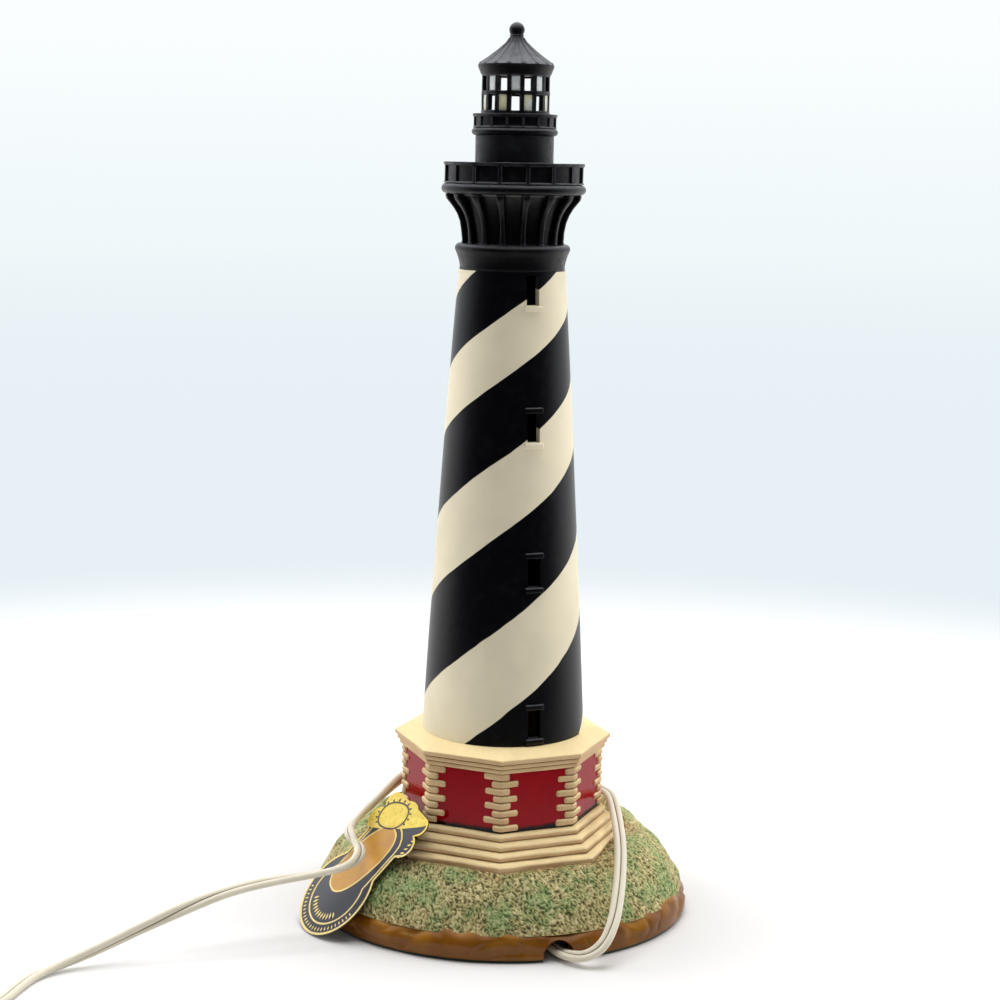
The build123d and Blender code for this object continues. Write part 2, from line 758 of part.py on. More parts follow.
with BuildPart() as gallery_rail:
    panelled_ring(deck_top, RAIL_HEIGHT, RAIL_RADIUS, RAIL_WALL)
keep(gallery_rail, "gallery_rail")

# Drum between the gallery and the lantern
with BuildPart() as watch_drum:
    ring_at(deck_top, DRUM_HEIGHT, DRUM_RADIUS, drum_bore)
keep(watch_drum, "watch_drum")

# Small upper gallery
with BuildPart() as lantern_deck:
    ring_at(drum_top, LANTERN_DECK_THICK, LANTERN_DECK_RADIUS, lantern_bore)
    lip = lantern_deck.edges().filter_by(GeomType.CIRCLE).group_by(SortBy.RADIUS)[-1]
    fillet(lip, LIP_ROUND_SHARE * LANTERN_DECK_THICK)
    panelled_ring(lantern_deck_top, LANTERN_RAIL_HEIGHT, LANTERN_RAIL_RADIUS, LANTERN_RAIL_WALL)
keep(lantern_deck, "lantern_deck")

# Lantern wall with two rows of openings, closed panes in every second one
pane_turn = 360 / LANTERN_PANES
lantern_rows = ((LOWER_PANE_FOOT, LOWER_PANE_HEIGHT, 1), (UPPER_PANE_FOOT, UPPER_PANE_HEIGHT, 0))


def pane_planes(foot, panes):
    """Planes on the axis that face the given panes of a row."""
    return [radial_plane(-90 + pane * pane_turn, 0, lantern_deck_top + foot) for pane in panes]


with BuildPart() as lantern_frame:
    ring_at(lantern_deck_top, LANTERN_HEIGHT, LANTERN_RADIUS, lantern_bore)
    for foot, height, _ in lantern_rows:
        with BuildSketch(*pane_planes(foot, range(LANTERN_PANES))) as openings:
            Rectangle(PANE_WIDTH, height, align=(Align.CENTER, Align.MIN))
        extrude(openings.sketch, amount=LANTERN_RADIUS, mode=Mode.SUBTRACT)
keep(lantern_frame, "lantern_frame")

with BuildPart() as pane_ring:
    ring_at(lantern_deck_top, LANTERN_HEIGHT, LANTERN_RADIUS, LANTERN_RADIUS - PANE_THICK)

with BuildPart() as lantern_panes:
    for foot, height, first in lantern_rows:
        pane_width = PANE_WIDTH - 2 * PANE_CLEARANCE
        pane_height = height - 2 * PANE_CLEARANCE
        with BuildSketch(*pane_planes(foot + PANE_CLEARANCE, range(first, LANTERN_PANES, 2))) as panes:
            Rectangle(pane_width, pane_height, align=(Align.CENTER, Align.MIN))
        extrude(panes.sketch, amount=2 * LANTERN_RADIUS)
    add(pane_ring.part, mode=Mode.INTERSECT)
keep(lantern_panes, "lantern_panes")

# Fluted roof with a fascia
with BuildPart() as lantern_roof:
    turned([
        (0, lantern_top),
        (FASCIA_FOOT_RADIUS, lantern_top),
        (FASCIA_RADIUS, lantern_top + FASCIA_WIDE_HEIGHT),
        (ROOF_EDGE_RADIUS, roof_edge),
        (0, roof_edge),
    ])
    roof_sections = (
        (roof_edge, ROOF_EDGE_RADIUS),
        (roof_top - ROOF_WAIST_DROP, ROOF_WAIST_RADIUS),
        (roof_top, ROOF_TOP_RADIUS),
    )
    sections = []
    for level, radius in roof_sections:
        with BuildSketch(Plane.XY.offset(level)) as outline:
            RegularPolygon(radius, LANTERN_PANES, rotation=pane_turn / 2)
        sections.append(outline.sketch)
    loft(sections, ruled=True)
keep(lantern_roof, "lantern_roof")

with BuildPart() as roof_finial:
    with Locations((0, 0, roof_top + FINIAL_CENTRE_RISE)):
        Sphere(FINIAL_RADIUS)
    disc_at(roof_top, FINIAL_RING_HEIGHT, FINIAL_RING_RADIUS)
    split(bisect_by=Plane.XY.offset(roof_top), keep=Keep.TOP)
keep(roof_finial, "roof_finial")

# Sprung clip: a flange on the plinth and legs down its hole
leg_radius = SOCKET_HOLE_RADIUS - CLIP_CLEARANCE
clip_bore = SOCKET_RADIUS + CLIP_CLEARANCE

with BuildPart() as socket_clip:
    ring_at(plinth_top, CLIP_THICK, CLIP_FLANGE_RADIUS, clip_bore)
    for leg in range(CLIP_LEGS):
        with BuildSketch(Plane.XZ.rotated((0, 0, leg * 360 / CLIP_LEGS - CLIP_LEG_SPREAD / 2))) as strip:
            with BuildLine():
                bend = plinth_top - CLIP_LEG_LENGTH * CLIP_BEND_SHARE
                tip = plinth_top - CLIP_LEG_LENGTH
                Polyline(
                    (clip_bore, plinth_top),
                    (leg_radius - CLIP_THICK, bend),
                    (clip_bore, tip),
                    (clip_bore + CLIP_THICK, tip),
                    (leg_radius, bend),
                    (clip_bore + CLIP_THICK, plinth_top),
                    close=True,
                )
            make_face()
        revolve(strip.sketch, axis=Axis.Z, revolution_arc=CLIP_LEG_SPREAD)
keep(socket_clip, "socket_clip")

# Socket with its screw shell and centre contact
socket_seat = plinth_top + CLIP_THICK
socket_foot = plinth_top - SOCKET_DROP
socket_top = socket_seat + SOCKET_FLANGE_HEIGHT + SOCKET_NECK_HEIGHT
socket_floor = socket_foot + SOCKET_FLOOR

with BuildPart() as socket_body:
    disc_at(socket_foot, socket_top - socket_foot, SOCKET_RADIUS)
    disc_at(socket_seat, SOCKET_FLANGE_HEIGHT, SOCKET_FLANGE_RADIUS)
    disc_at(socket_floor, socket_top - socket_floor, SHELL_RADIUS + SHELL_CLEARANCE, Mode.SUBTRACT)
keep(socket_body, "socket_body")

with BuildPart() as socket_shell:
    ring_at(socket_floor, socket_top - SHELL_DROP - socket_floor, SHELL_RADIUS, SHELL_RADIUS - SHELL_WALL)
keep(socket_shell, "socket_shell")

with BuildPart() as socket_contact:
    disc_at(socket_floor, CONTACT_THICK, CONTACT_RADIUS)
keep(socket_contact, "socket_contact")

# Bulb
tip_foot = socket_floor + CONTACT_THICK + BULB_TIP_CLEARANCE
insulator_foot = tip_foot + BULB_TIP_HEIGHT
cap_foot = insulator_foot + BULB_INSULATOR_HEIGHT
cap_top = cap_foot + BULB_CAP_HEIGHT
cap_bore = BULB_CAP_RADIUS - THREAD_DEPTH - BULB_CAP_WALL
glass_foot = cap_top - BULB_NECK_DEPTH
neck_radius = cap_bore - BULB_FIT

with BuildPart() as bulb_contact:
    disc_at(tip_foot, BULB_TIP_HEIGHT, BULB_TIP_RADIUS)
    fillet(bulb_contact.edges().group_by(Axis.Z)[0], BULB_TIP_HEIGHT / 2)
keep(bulb_contact, "bulb_contact")

with BuildPart() as bulb_insulator:
    turned([
        (0, insulator_foot),
        (BULB_INSULATOR_FOOT_RADIUS, insulator_foot),
        (cap_bore, cap_foot),
        (0, cap_foot),
    ])
keep(bulb_insulator, "bulb_insulator")

with BuildPart() as bulb_cap:
    ring_at(cap_foot, BULB_CAP_HEIGHT, BULB_CAP_RADIUS - THREAD_DEPTH, cap_bore)
    for turn in range(THREAD_TURNS):
        ridge = cap_foot + THREAD_FIRST_RIDGE + turn * THREAD_PITCH
        turned([
            (cap_bore, ridge - THREAD_RIDGE_HALF),
            (BULB_CAP_RADIUS - THREAD_DEPTH, ridge - THREAD_RIDGE_HALF),
            (BULB_CAP_RADIUS, ridge),
            (BULB_CAP_RADIUS - THREAD_DEPTH, ridge + THREAD_RIDGE_HALF),
            (cap_bore, ridge + THREAD_RIDGE_HALF),
        ])
keep(bulb_cap, "bulb_cap")


def bulb_outline(inset, foot):
    """Half section of the bulb, filled to its axis: a neck, a round belly and a drawn-out crown."""
    belly_level = glass_foot + BULB_NECK_DEPTH + BULB_WIDEST_SHARE * (BULB_GLASS_HEIGHT - BULB_NECK_DEPTH)
    crown = glass_foot + BULB_GLASS_HEIGHT - inset
    neck = neck_radius - inset
    with BuildSketch(Plane.XZ) as half:
        with BuildLine():
            belly = (BULB_GLASS_RADIUS - inset, belly_level)
            shoulder = (BULB_CROWN_RADIUS - inset, crown - BULB_CROWN_RADIUS)
            neck_head = (neck, glass_foot + BULB_NECK_DEPTH)
            Spline(neck_head, belly, shoulder, (0, crown), tangents=((0, 1), (-1, 0)))
            Polyline((0, crown), (0, foot), (neck, foot), neck_head)
        make_face()
    return half.sketch


with BuildPart() as bulb_glass:
    revolve(bulb_outline(0, glass_foot), axis=Axis.Z)
    revolve(bulb_outline(BULB_GLASS_WALL, glass_foot), axis=Axis.Z, mode=Mode.SUBTRACT)
keep(bulb_glass, "bulb_glass")

stem_top = glass_foot + STEM_HEIGHT

with BuildPart() as bulb_stem:
    disc_at(glass_foot - STEM_FOOT_HEIGHT, STEM_FOOT_HEIGHT, neck_radius)
    disc_at(glass_foot, STEM_HEIGHT, STEM_RADIUS)
keep(bulb_stem, "bulb_stem")

with BuildPart() as bulb_filament:
    with BuildLine(Plane.XZ) as wire:
        FilletPolyline(
            (-FILAMENT_FOOT, stem_top),
            (-FILAMENT_SPREAD, stem_top + FILAMENT_RISE),
            (FILAMENT_SPREAD, stem_top + FILAMENT_RISE),
            (FILAMENT_FOOT, stem_top),
            radius=FILAMENT_ROUND,
        )
    with BuildSketch(Plane(origin=wire.line @ 0, z_dir=wire.line % 0)):
        Circle(FILAMENT_RADIUS)
    sweep()
    split(bisect_by=Plane.XY.offset(stem_top), keep=Keep.TOP)
keep(bulb_filament, "bulb_filament")

# Cord from the socket to the notch, then its free stretch up to the switch
sweep_cord([(0, 0, socket_foot), (0, 0, LEAD_LEVEL), ROUTE[0]], "inner_lead")
sweep_cord(ROUTE, "cord")

# Coil, closed ring with rounded edges
coil_plane = Plane(origin=(*COIL_CENTRE, 0))

with BuildPart() as cord_coil:
    with BuildSketch(coil_plane) as coil_ring:
        Circle(COIL_RADIUS + COIL_HALF_WIDTH)
        Circle(COIL_RADIUS - COIL_HALF_WIDTH, mode=Mode.SUBTRACT)
    extrude(amount=COIL_HEIGHT)
    fillet(cord_coil.edges().filter_by(GeomType.CIRCLE), COIL_ROUND)
keep(cord_coil, "cord_coil")

# Roller switch: its length runs along X, and the cord goes in at mid height
switch_front = ROUTE[-1][0]
switch_middle = switch_front - SWITCH_LENGTH / 2
switch_line = ROUTE[-1][1]
switch_plane = Plane(origin=(switch_middle, switch_line, 0))
wheel_foot = SWITCH_SPLIT - WHEEL_THICK / 2
wheel_space = WHEEL_THICK / 2 + WHEEL_CLEARANCE


def switch_half(low, high):
    """Half of the switch's case between two levels, with room for the wheel."""
    with BuildSketch(switch_plane.offset(low)) as case:
        RectangleRounded(SWITCH_LENGTH, SWITCH_WIDTH, SWITCH_WIDTH / 2 - SWITCH_ROUND)
    extrude(case.sketch, amount=high - low)
    with BuildSketch(switch_plane.offset(SWITCH_SPLIT)) as space:
        Circle(WHEEL_RADIUS + WHEEL_CLEARANCE)
        Circle(AXLE_RADIUS, mode=Mode.SUBTRACT)
    extrude(space.sketch, amount=wheel_space, both=True, mode=Mode.SUBTRACT)
    with BuildSketch(switch_plane) as bore:
        Circle(SCREW_RADIUS + SCREW_CLEARANCE)
    extrude(bore.sketch, amount=SWITCH_HEIGHT, mode=Mode.SUBTRACT)


with BuildPart() as switch_base:
    switch_half(0, SWITCH_SPLIT)
    fillet(switch_base.faces().sort_by(Axis.Z)[0].outer_wire().edges(), SWITCH_ROUND)
keep(switch_base, "switch_base")

with BuildPart() as switch_cover:
    switch_half(SWITCH_SPLIT, SWITCH_HEIGHT)
    fillet(switch_cover.faces().sort_by(Axis.Z)[-1].outer_wire().edges(), SWITCH_ROUND)
    with BuildSketch(switch_plane.offset(SWITCH_HEIGHT - SCREW_HEAD_HEIGHT)) as sink:
        Circle(SCREW_HEAD_RADIUS + SCREW_CLEARANCE)
    extrude(sink.sketch, amount=SCREW_HEAD_HEIGHT, mode=Mode.SUBTRACT)
keep(switch_cover, "switch_cover")

with BuildPart() as switch_screw:
    with BuildSketch(switch_plane.offset(SWITCH_HEIGHT - SCREW_HEAD_HEIGHT)) as head:
        Circle(SCREW_HEAD_RADIUS)
    extrude(head.sketch, amount=SCREW_HEAD_HEIGHT)
    with BuildSketch(switch_plane.offset(SWITCH_HEIGHT - SCREW_HEAD_HEIGHT)) as shank:
        Circle(SCREW_RADIUS)
    extrude(shank.sketch, amount=-SCREW_DEPTH)
    with BuildSketch(switch_plane.offset(SWITCH_HEIGHT)) as slot:
        Rectangle(2 * SCREW_HEAD_RADIUS, SCREW_SLOT)
    extrude(slot.sketch, amount=-SCREW_HEAD_HEIGHT / 2, mode=Mode.SUBTRACT)
keep(switch_screw, "switch_screw")

with BuildPart() as switch_wheel:
    with BuildSketch(switch_plane.offset(wheel_foot)) as disc:
        Circle(WHEEL_RADIUS - WHEEL_TOOTH)
        with PolarLocations(WHEEL_RADIUS - WHEEL_TOOTH, WHEEL_TEETH):
            Circle(WHEEL_TOOTH)
        Circle(AXLE_RADIUS + AXLE_CLEARANCE, mode=Mode.SUBTRACT)
    extrude(disc.sketch, amount=WHEEL_THICK)
keep(switch_wheel, "switch_wheel")

# Lead from the switch to the coil
sweep_cord(SWITCH_LEAD, "switch_lead")
sweep_cord(PLUG_LEAD, "plug_lead")

# Tie round the coil
tie_angle = radians(TIE_TURN)
tie_centre = (
    COIL_CENTRE[0] + COIL_RADIUS * cos(tie_angle),
    COIL_CENTRE[1] + COIL_RADIUS * sin(tie_angle),
    COIL_HEIGHT / 2,
)
tie_outward = Vector(cos(tie_angle), sin(tie_angle), 0)
tie_along = Vector(-sin(tie_angle), cos(tie_angle), 0)
tie_section = Plane(origin=tie_centre, x_dir=tie_outward, z_dir=tie_along)
tie_inner_width = 2 * COIL_HALF_WIDTH
tie_inner_height = COIL_HEIGHT - 2 * TIE_THICK

with BuildPart() as coil_tie:
    with BuildSketch(tie_section) as loop:
        RectangleRounded(tie_inner_width + 2 * TIE_THICK, COIL_HEIGHT, COIL_ROUND)
        RectangleRounded(tie_inner_width, tie_inner_height, COIL_ROUND - TIE_THICK, mode=Mode.SUBTRACT)
    extrude(loop.sketch, amount=TIE_WIDTH / 2, both=True)
keep(coil_tie, "coil_tie")

# Plug
plug_tail = PLUG_LEAD[-1]
tail_plane = Plane(origin=plug_tail, x_dir=(0, 1, 0), z_dir=(1, 0, 0))
face_plane = tail_plane.offset(PLUG_LENGTH)

with BuildPart() as plug_body:
    with BuildSketch(tail_plane) as tail:
        RectangleRounded(PLUG_TAIL_WIDTH, PLUG_TAIL_HEIGHT, PLUG_ROUND)
    with BuildSketch(tail_plane.offset(PLUG_LENGTH / 2)) as grip:
        RectangleRounded(PLUG_GRIP_WIDTH, PLUG_GRIP_HEIGHT, PLUG_ROUND)
    with BuildSketch(face_plane) as face:
        RectangleRounded(PLUG_WIDTH, PLUG_HEIGHT, PLUG_ROUND)
    loft([tail.sketch, grip.sketch, face.sketch], ruled=True)
    with BuildSketch(face_plane.offset(-BLADE_ROOT)) as slots:
        with GridLocations(BLADE_SPACING, 0, 2, 1):
            Rectangle(BLADE_THICK, BLADE_WIDTH)
    extrude(slots.sketch, amount=BLADE_ROOT, mode=Mode.SUBTRACT)
keep(plug_body, "plug_body")

with BuildPart() as plug_blades:
    with BuildSketch(face_plane.offset(-BLADE_ROOT)) as blades:
        with GridLocations(BLADE_SPACING, 0, 2, 1):
            Rectangle(BLADE_THICK, BLADE_WIDTH)
    extrude(blades.sketch, amount=BLADE_ROOT + BLADE_LENGTH)
    hole_reach = plug_tail[0] + PLUG_LENGTH + BLADE_LENGTH - BLADE_HOLE_FROM_TIP
    hole_centre = (hole_reach, plug_tail[1], plug_tail[2])
    with BuildSketch(Plane(origin=hole_centre, x_dir=(1, 0, 0), z_dir=(0, 1, 0))) as hole:
        Circle(BLADE_HOLE_RADIUS)
    extrude(hole.sketch, amount=BLADE_SPACING, both=True, mode=Mode.SUBTRACT)
keep(plug_blades, "plug_blades")

# Hang tag: a card that leans on the hill, rounded at its foot and scalloped at its head
facing = radians(TAG_FACING)
lean = radians(TAG_LEAN)
tag_normal = Vector(cos(facing) * sin(lean), sin(facing) * sin(lean), cos(lean))
tag_level = Vector(-sin(facing), cos(facing), 0)
tilt = radians(TAG_TILT)
tag_side = tag_level * cos(tilt) - tag_normal.cross(tag_level) * sin(tilt)
tag_plane = Plane(origin=TAG_FOOT, x_dir=tag_side, z_dir=tag_normal)

tag_shoulder_level = TAG_LENGTH - TAG_SHOULDER_DROP
tag_ear_level = TAG_LENGTH - TAG_EAR_DROP

with BuildPart() as hang_tag:
    with BuildSketch(tag_plane) as card:
        with Locations((0, TAG_FOOT_RADIUS)):
            Circle(TAG_FOOT_RADIUS)
        with Locations((0, (TAG_FOOT_RADIUS + tag_ear_level) / 2)):
            Rectangle(2 * TAG_WAIST, tag_ear_level - TAG_FOOT_RADIUS)
        with Locations((-TAG_WAIST, tag_shoulder_level), (TAG_WAIST, tag_shoulder_level)):
            Circle(TAG_SHOULDER_RADIUS)
        with Locations((-TAG_EAR_REACH, tag_ear_level), (TAG_EAR_REACH, tag_ear_level)):
            Circle(TAG_EAR_RADIUS)
        with Locations((0, tag_ear_level)):
            Rectangle(2 * TAG_EAR_REACH, 2 * TAG_EAR_RADIUS)
        with Locations((0, TAG_LENGTH - TAG_CROWN_RADIUS)):
            Circle(TAG_CROWN_RADIUS)
    extrude(card.sketch, amount=TAG_THICK)
keep(hang_tag, "hang_tag")
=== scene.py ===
import random
from math import acos, atan2, cos, degrees, e, hypot, log, pi, radians, sin, sqrt, tau

import bmesh
import bpy
from bpy.props import FloatProperty, FloatVectorProperty, IntProperty, PointerProperty
from mathutils import Matrix, Vector, noise


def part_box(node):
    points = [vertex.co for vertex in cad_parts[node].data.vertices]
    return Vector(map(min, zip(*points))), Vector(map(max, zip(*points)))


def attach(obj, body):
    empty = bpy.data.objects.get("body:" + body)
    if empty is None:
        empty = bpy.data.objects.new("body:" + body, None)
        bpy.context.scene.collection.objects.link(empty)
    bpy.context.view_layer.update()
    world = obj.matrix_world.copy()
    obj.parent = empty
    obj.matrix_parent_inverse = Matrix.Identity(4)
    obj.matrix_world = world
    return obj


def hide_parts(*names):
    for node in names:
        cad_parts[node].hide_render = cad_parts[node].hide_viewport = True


bl_info = {
    "name": "Lighthouse Lamp",
    "version": (1, 0, 0),
    "blender": (4, 5, 0),
    "location": "View3D > Sidebar > Lamp",
    "description": "Dresses a lighthouse table lamp around its packed solids",
    "category": "Add Mesh",
}

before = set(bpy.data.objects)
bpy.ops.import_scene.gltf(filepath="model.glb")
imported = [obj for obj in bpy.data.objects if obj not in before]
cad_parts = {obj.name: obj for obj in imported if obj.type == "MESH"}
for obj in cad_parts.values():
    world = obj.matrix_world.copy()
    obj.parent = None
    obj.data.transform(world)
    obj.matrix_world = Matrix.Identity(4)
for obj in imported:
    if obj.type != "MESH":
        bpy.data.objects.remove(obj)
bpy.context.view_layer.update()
MM = 0.001
WHITE = (1.0, 1.0, 1.0)

# Camera, fitted to the picture that the lamp is seen in
CAMERA_PLACE = (0.0, -0.864, 0.32238)
CAMERA_LENS = 73.44
CAMERA_SENSOR = 36.0
CAMERA_PITCH = radians(9.38)
CAMERA_ROLL = radians(1.14)
CAMERA_YAW = radians(0.21)

# Floor and lamps in metres: name, place, size and the setting that holds the lamp's power
FLOOR_RADIUS = 9.0
LAMP_AIM = (0.0, 0.0, 0.16)
LAMPS = (
    ("left_lamp", (-1.15, 0.36, 0.60), 1.1, "side_power"),
    ("right_lamp", (1.18, 0.22, 0.62), 1.1, "side_power"),
    ("front_lamp", (0.15, -1.40, 0.75), 1.2, "front_power"),
    ("top_lamp", (0.0, 0.10, 1.45), 1.2, "top_power"),
)

# Colour of the room that glossy paint mirrors
ROOM_TONE = (0.92, 0.95, 1.0)

# Sides of the house and the steps, panels and panes round the tower's head, and the front's direction
SIDES = 8
PANELS = 16
FRONT = -pi / 2

# Hill sections: level, then the insets at the sides, the front and the back, in millimetres
BASE_HALF_WIDTH = 82.5
BASE_HALF_DEPTH = 75.0
GRASS_KNOTS = (
    (11.0, 2.7, 2.7, 2.7),
    (21.5, 8.6, 9.2, 5.5),
    (31.0, 18.0, 18.7, 10.0),
    (39.0, 28.5, 33.0, 17.0),
)
GRASS_UNDERSIDE = (
    (39.0, 34.0, 37.0, 25.0),
    (38.4, 40.0, 42.0, 33.0),
    (29.0, 43.0, 44.0, 37.0),
    (27.5, 61.0, 54.0, 54.0),
    (22.5, 61.0, 54.0, 54.0),
    (22.2, 20.0, 20.0, 20.0),
    (10.0, 10.0, 10.0, 10.0),
)
RIM_SECTIONS = (
    (1.0, 1.3),
    (1.5, 0.9),
    (2.6, 0.5),
    (4.2, 0.2),
    (6.0, 0.1),
    (7.6, 0.3),
    (9.0, 0.8),
    (10.2, 1.5),
    (11.2, 2.5),
    (11.8, 3.8),
    (11.6, 5.4),
    (10.4, 7.4),
    (1.0, 7.8),
)
NOTCH_TURN = radians(-70.5)
NOTCH_WIDTH = 13.0
NOTCH_HEIGHT = 9.2

# Cord route in millimetres, from the notch round the house and down to the floor
ROUTE = [
    (19.1, -53.94, 3.2),
    (22.63, -63.9, 3.2),
    (28.5, -72.0, 3.4),
    (36.0, -76.4, 4.8),
    (43.0, -75.4, 9.6),
    (47.0, -69.4, 17.0),
    (49.0, -60.5, 24.6),
    (50.3, -49.8, 32.2),
    (50.8, -38.0, 39.5),
    (49.8, -24.5, 45.8),
    (48.6, -11.0, 49.8),
    (47.8, 3.0, 48.8),
    (45.0, 18.0, 46.0),
    (36.4, 33.4, 46.4),
    (21.0, 43.5, 47.4),
    (4.0, 49.6, 48.4),
    (-14.0, 46.8, 49.2),
    (-31.5, 38.6, 50.2),
    (-41.5, 24.0, 51.0),
    (-48.0, 8.5, 49.8),
    (-54.5, -4.0, 46.2),
    (-61.0, -14.0, 42.5),
    (-64.2, -21.5, 40.4),
    (-65.0, -28.0, 39.0),
    (-61.4, -34.0, 37.4),
    (-58.6, -39.5, 35.2),
    (-60.4, -45.0, 32.4),
    (-67.0, -48.5, 29.8),
    (-79.0, -52.0, 28.2),
    (-93.0, -57.0, 27.6),
    (-110.0, -63.4, 25.4),
    (-127.0, -70.2, 20.4),
    (-145.0, -77.8, 13.6),
    (-162.0, -84.6, 6.6),
    (-175.5, -91.2, 2.3),
    (-183.5, -100.0, 1.6),
    (-187.0, -111.5, 1.6),
    (-189.8, -124.0, 1.6),
    (-194.5, -136.5, 1.9),
    (-204.5, -147.5, 3.6),
    (-217.5, -153.0, 7.5),
    (-228.5, -153.0, 7.5),
]
THROUGH_SWITCH = [(-242.0, -153.0, 7.5), (-255.5, -153.0, 7.5), (-269.0, -153.0, 7.5)]
SWITCH_LEAD = [
    (-282.5, -153.0, 7.5),
    (-294.0, -153.0, 7.5),
    (-306.0, -147.5, 6.0),
    (-313.5, -137.0, 4.8),
    (-316.0, -125.0, 4.2),
    (-315.6, -113.0, 3.4),
]
PLUG_LEAD = [(-274.0, -66.2, 7.9), (-265.0, -66.0, 6.5), (-256.0, -66.0, 6.5)]
COIL_CENTRE = (-282.0, -100.0)
COIL_TURNS = ((32.0, 1.7), (26.4, 1.7), (26.4, 5.3), (32.0, 5.3), (26.4, 8.9), (32.0, 8.9), (33.4, 8.4))
COIL_POINTS = 16

# Width direction of the flat cord at points of its route
CORD_WIDTH_KEYS = (
    (0, (0.94, 0.33, 0.0)),
    (3, (0.62, 0.25, 0.74)),
    (5, (0.93, -0.25, -0.25)),
    (8, (0.98, 0.0, -0.18)),
    (10, (1.0, 0.0, 0.0)),
    (12, (0.95, 0.3, 0.0)),
    (15, (0.0, 0.3, 0.95)),
    (18, (0.0, 0.0, 1.0)),
    (20, (0.45, -0.5, 0.74)),
    (22, (0.6, -0.5, 0.6)),
    (24, (0.2, 0.95, 0.2)),
    (27, (0.25, 0.9, -0.2)),
    (29, (0.3, 0.85, 0.3)),
    (32, (0.35, -0.3, 0.85)),
    (35, (1.0, -0.4, 0.1)),
    (38, (1.0, -0.3, 0.0)),
)

# Hang tag plane: foot, side and length directions of the card
TAG_FOOT = (-81.9, -41.9, 0.6)
TAG_SIDE = (0.4529, -0.8824, -0.1274)
TAG_ALONG = (0.6518, 0.2302, 0.7226)
TAG_FACE = (-0.6083, -0.4103, 0.6794)
TAG_LENGTH = 70.5
TAG_FACING = radians(214.0)
# Round parts of the tag's edge: reach from its middle line, level and radius
TAG_ROUNDS = ((0.0, 20.5, 20.5), (14.5, 54.5, 5.5), (13.7, 64.5, 4.5), (0.0, 62.0, 8.5))
TAG_WAIST = 14.5
TAG_WAIST_LEVELS = (20.5, 64.5)

# Low mounds of the hill, spread over its slope
MOUND_COUNT = 30
MOUND_TURN = radians(137.5)
MOUND_LEVELS = (15.0, 32.5)
MOUND_RADIUS = 15.0
MOUND_HEIGHT = 1.0
MOUND_CORD_GAP = 14.0
MOUND_TAG_GAP = radians(30.0)

# Steps: corner radii and rises above the plinth's foot
STEP_RADII = (55.0, 52.0, 49.0, 46.0)
STEP_RISES = (7.3, 10.7, 14.1, 17.5)

# Windows: directions, rises of their feet above the tower's foot, and sizes of sills and lintels
WINDOW_TURNS = (radians(-67.5), radians(112.5))
WINDOW_RISES = (3.2, 67.4, 127.9, 184.4)
TRIM_WIDTH = 8.3
TRIM_HEIGHT = 2.4
TRIM_DEPTH = 2.9


def paint(red, green, blue):
    """Colour from its screen values of 0 to 255, as a shader takes it."""
    return tuple((value / 255 / 12.92) if value < 11 else ((value / 255 + 0.055) / 1.055) ** 2.4
                 for value in (red, green, blue))


def colour(name, description, *screen):
    """Colour that a user can change."""
    return FloatVectorProperty(name=name, description=description, subtype="COLOR", size=3, min=0, max=1,
                               default=paint(*screen))


def length(name, description, millimetres):
    """Length that a user can change."""
    return FloatProperty(name=name, description=description, unit="LENGTH", precision=5,
                         default=millimetres * MM)


def number(name, description, value, **kind):
    """Plain number that a user can change."""
    return FloatProperty(name=name, description=description, default=value, **kind)


class LampSizes(bpy.types.PropertyGroup):
    """Sizes of the lamp's moulded and painted detail"""

    tower_foot: length("Tower foot radius", "Outer radius of the tower at its foot", 35.2)
    tower_head: length("Tower head radius", "Outer radius of the tower at its head", 22.6)
    tower_bulge: length("Tower bulge", "How far the tower's side stands out at half height", 0.4)
    tower_wall: length("Tower wall", "Thickness of the tower's wall", 4.0)
    stripe_rise: number("Stripe rise", "Share of the radius that a stripe pair takes up", 0.194)
    stripe_share: number("Pale share", "Share of a stripe pair that is pale", 0.468,
                         subtype="FACTOR", min=0, max=1)
    stripe_middle: number("Stripe place", "Place of the pale stripe on the front", 0.0464)
    stripe_foot: length("Stripe cone foot", "Foot radius of the cone that the stripes are drawn on", 35.08)
    stripe_taper: number("Stripe cone taper", "Slope of that cone", 0.07663)
    window_width: length("Window width", "Width of a window in the tower", 5.6)
    window_height: length("Window height", "Height of a window in the tower", 12.2)
    relief_height: length("Grass relief", "Height of the curled relief on the hill", 0.8)
    relief_pitch: length("Grass pitch", "Distance between the curls on the hill", 1.25)
    step_wave: length("Step wave", "How uneven the edges of the steps are", 0.6)
    cord_width: length("Cord width", "Width of the flat twin cord", 5.3)
    cord_thick: length("Cord thickness", "Thickness of the flat twin cord", 2.9)
    hill_steps: IntProperty(name="Hill steps", description="Divisions of the hill round its axis",
                            default=800)


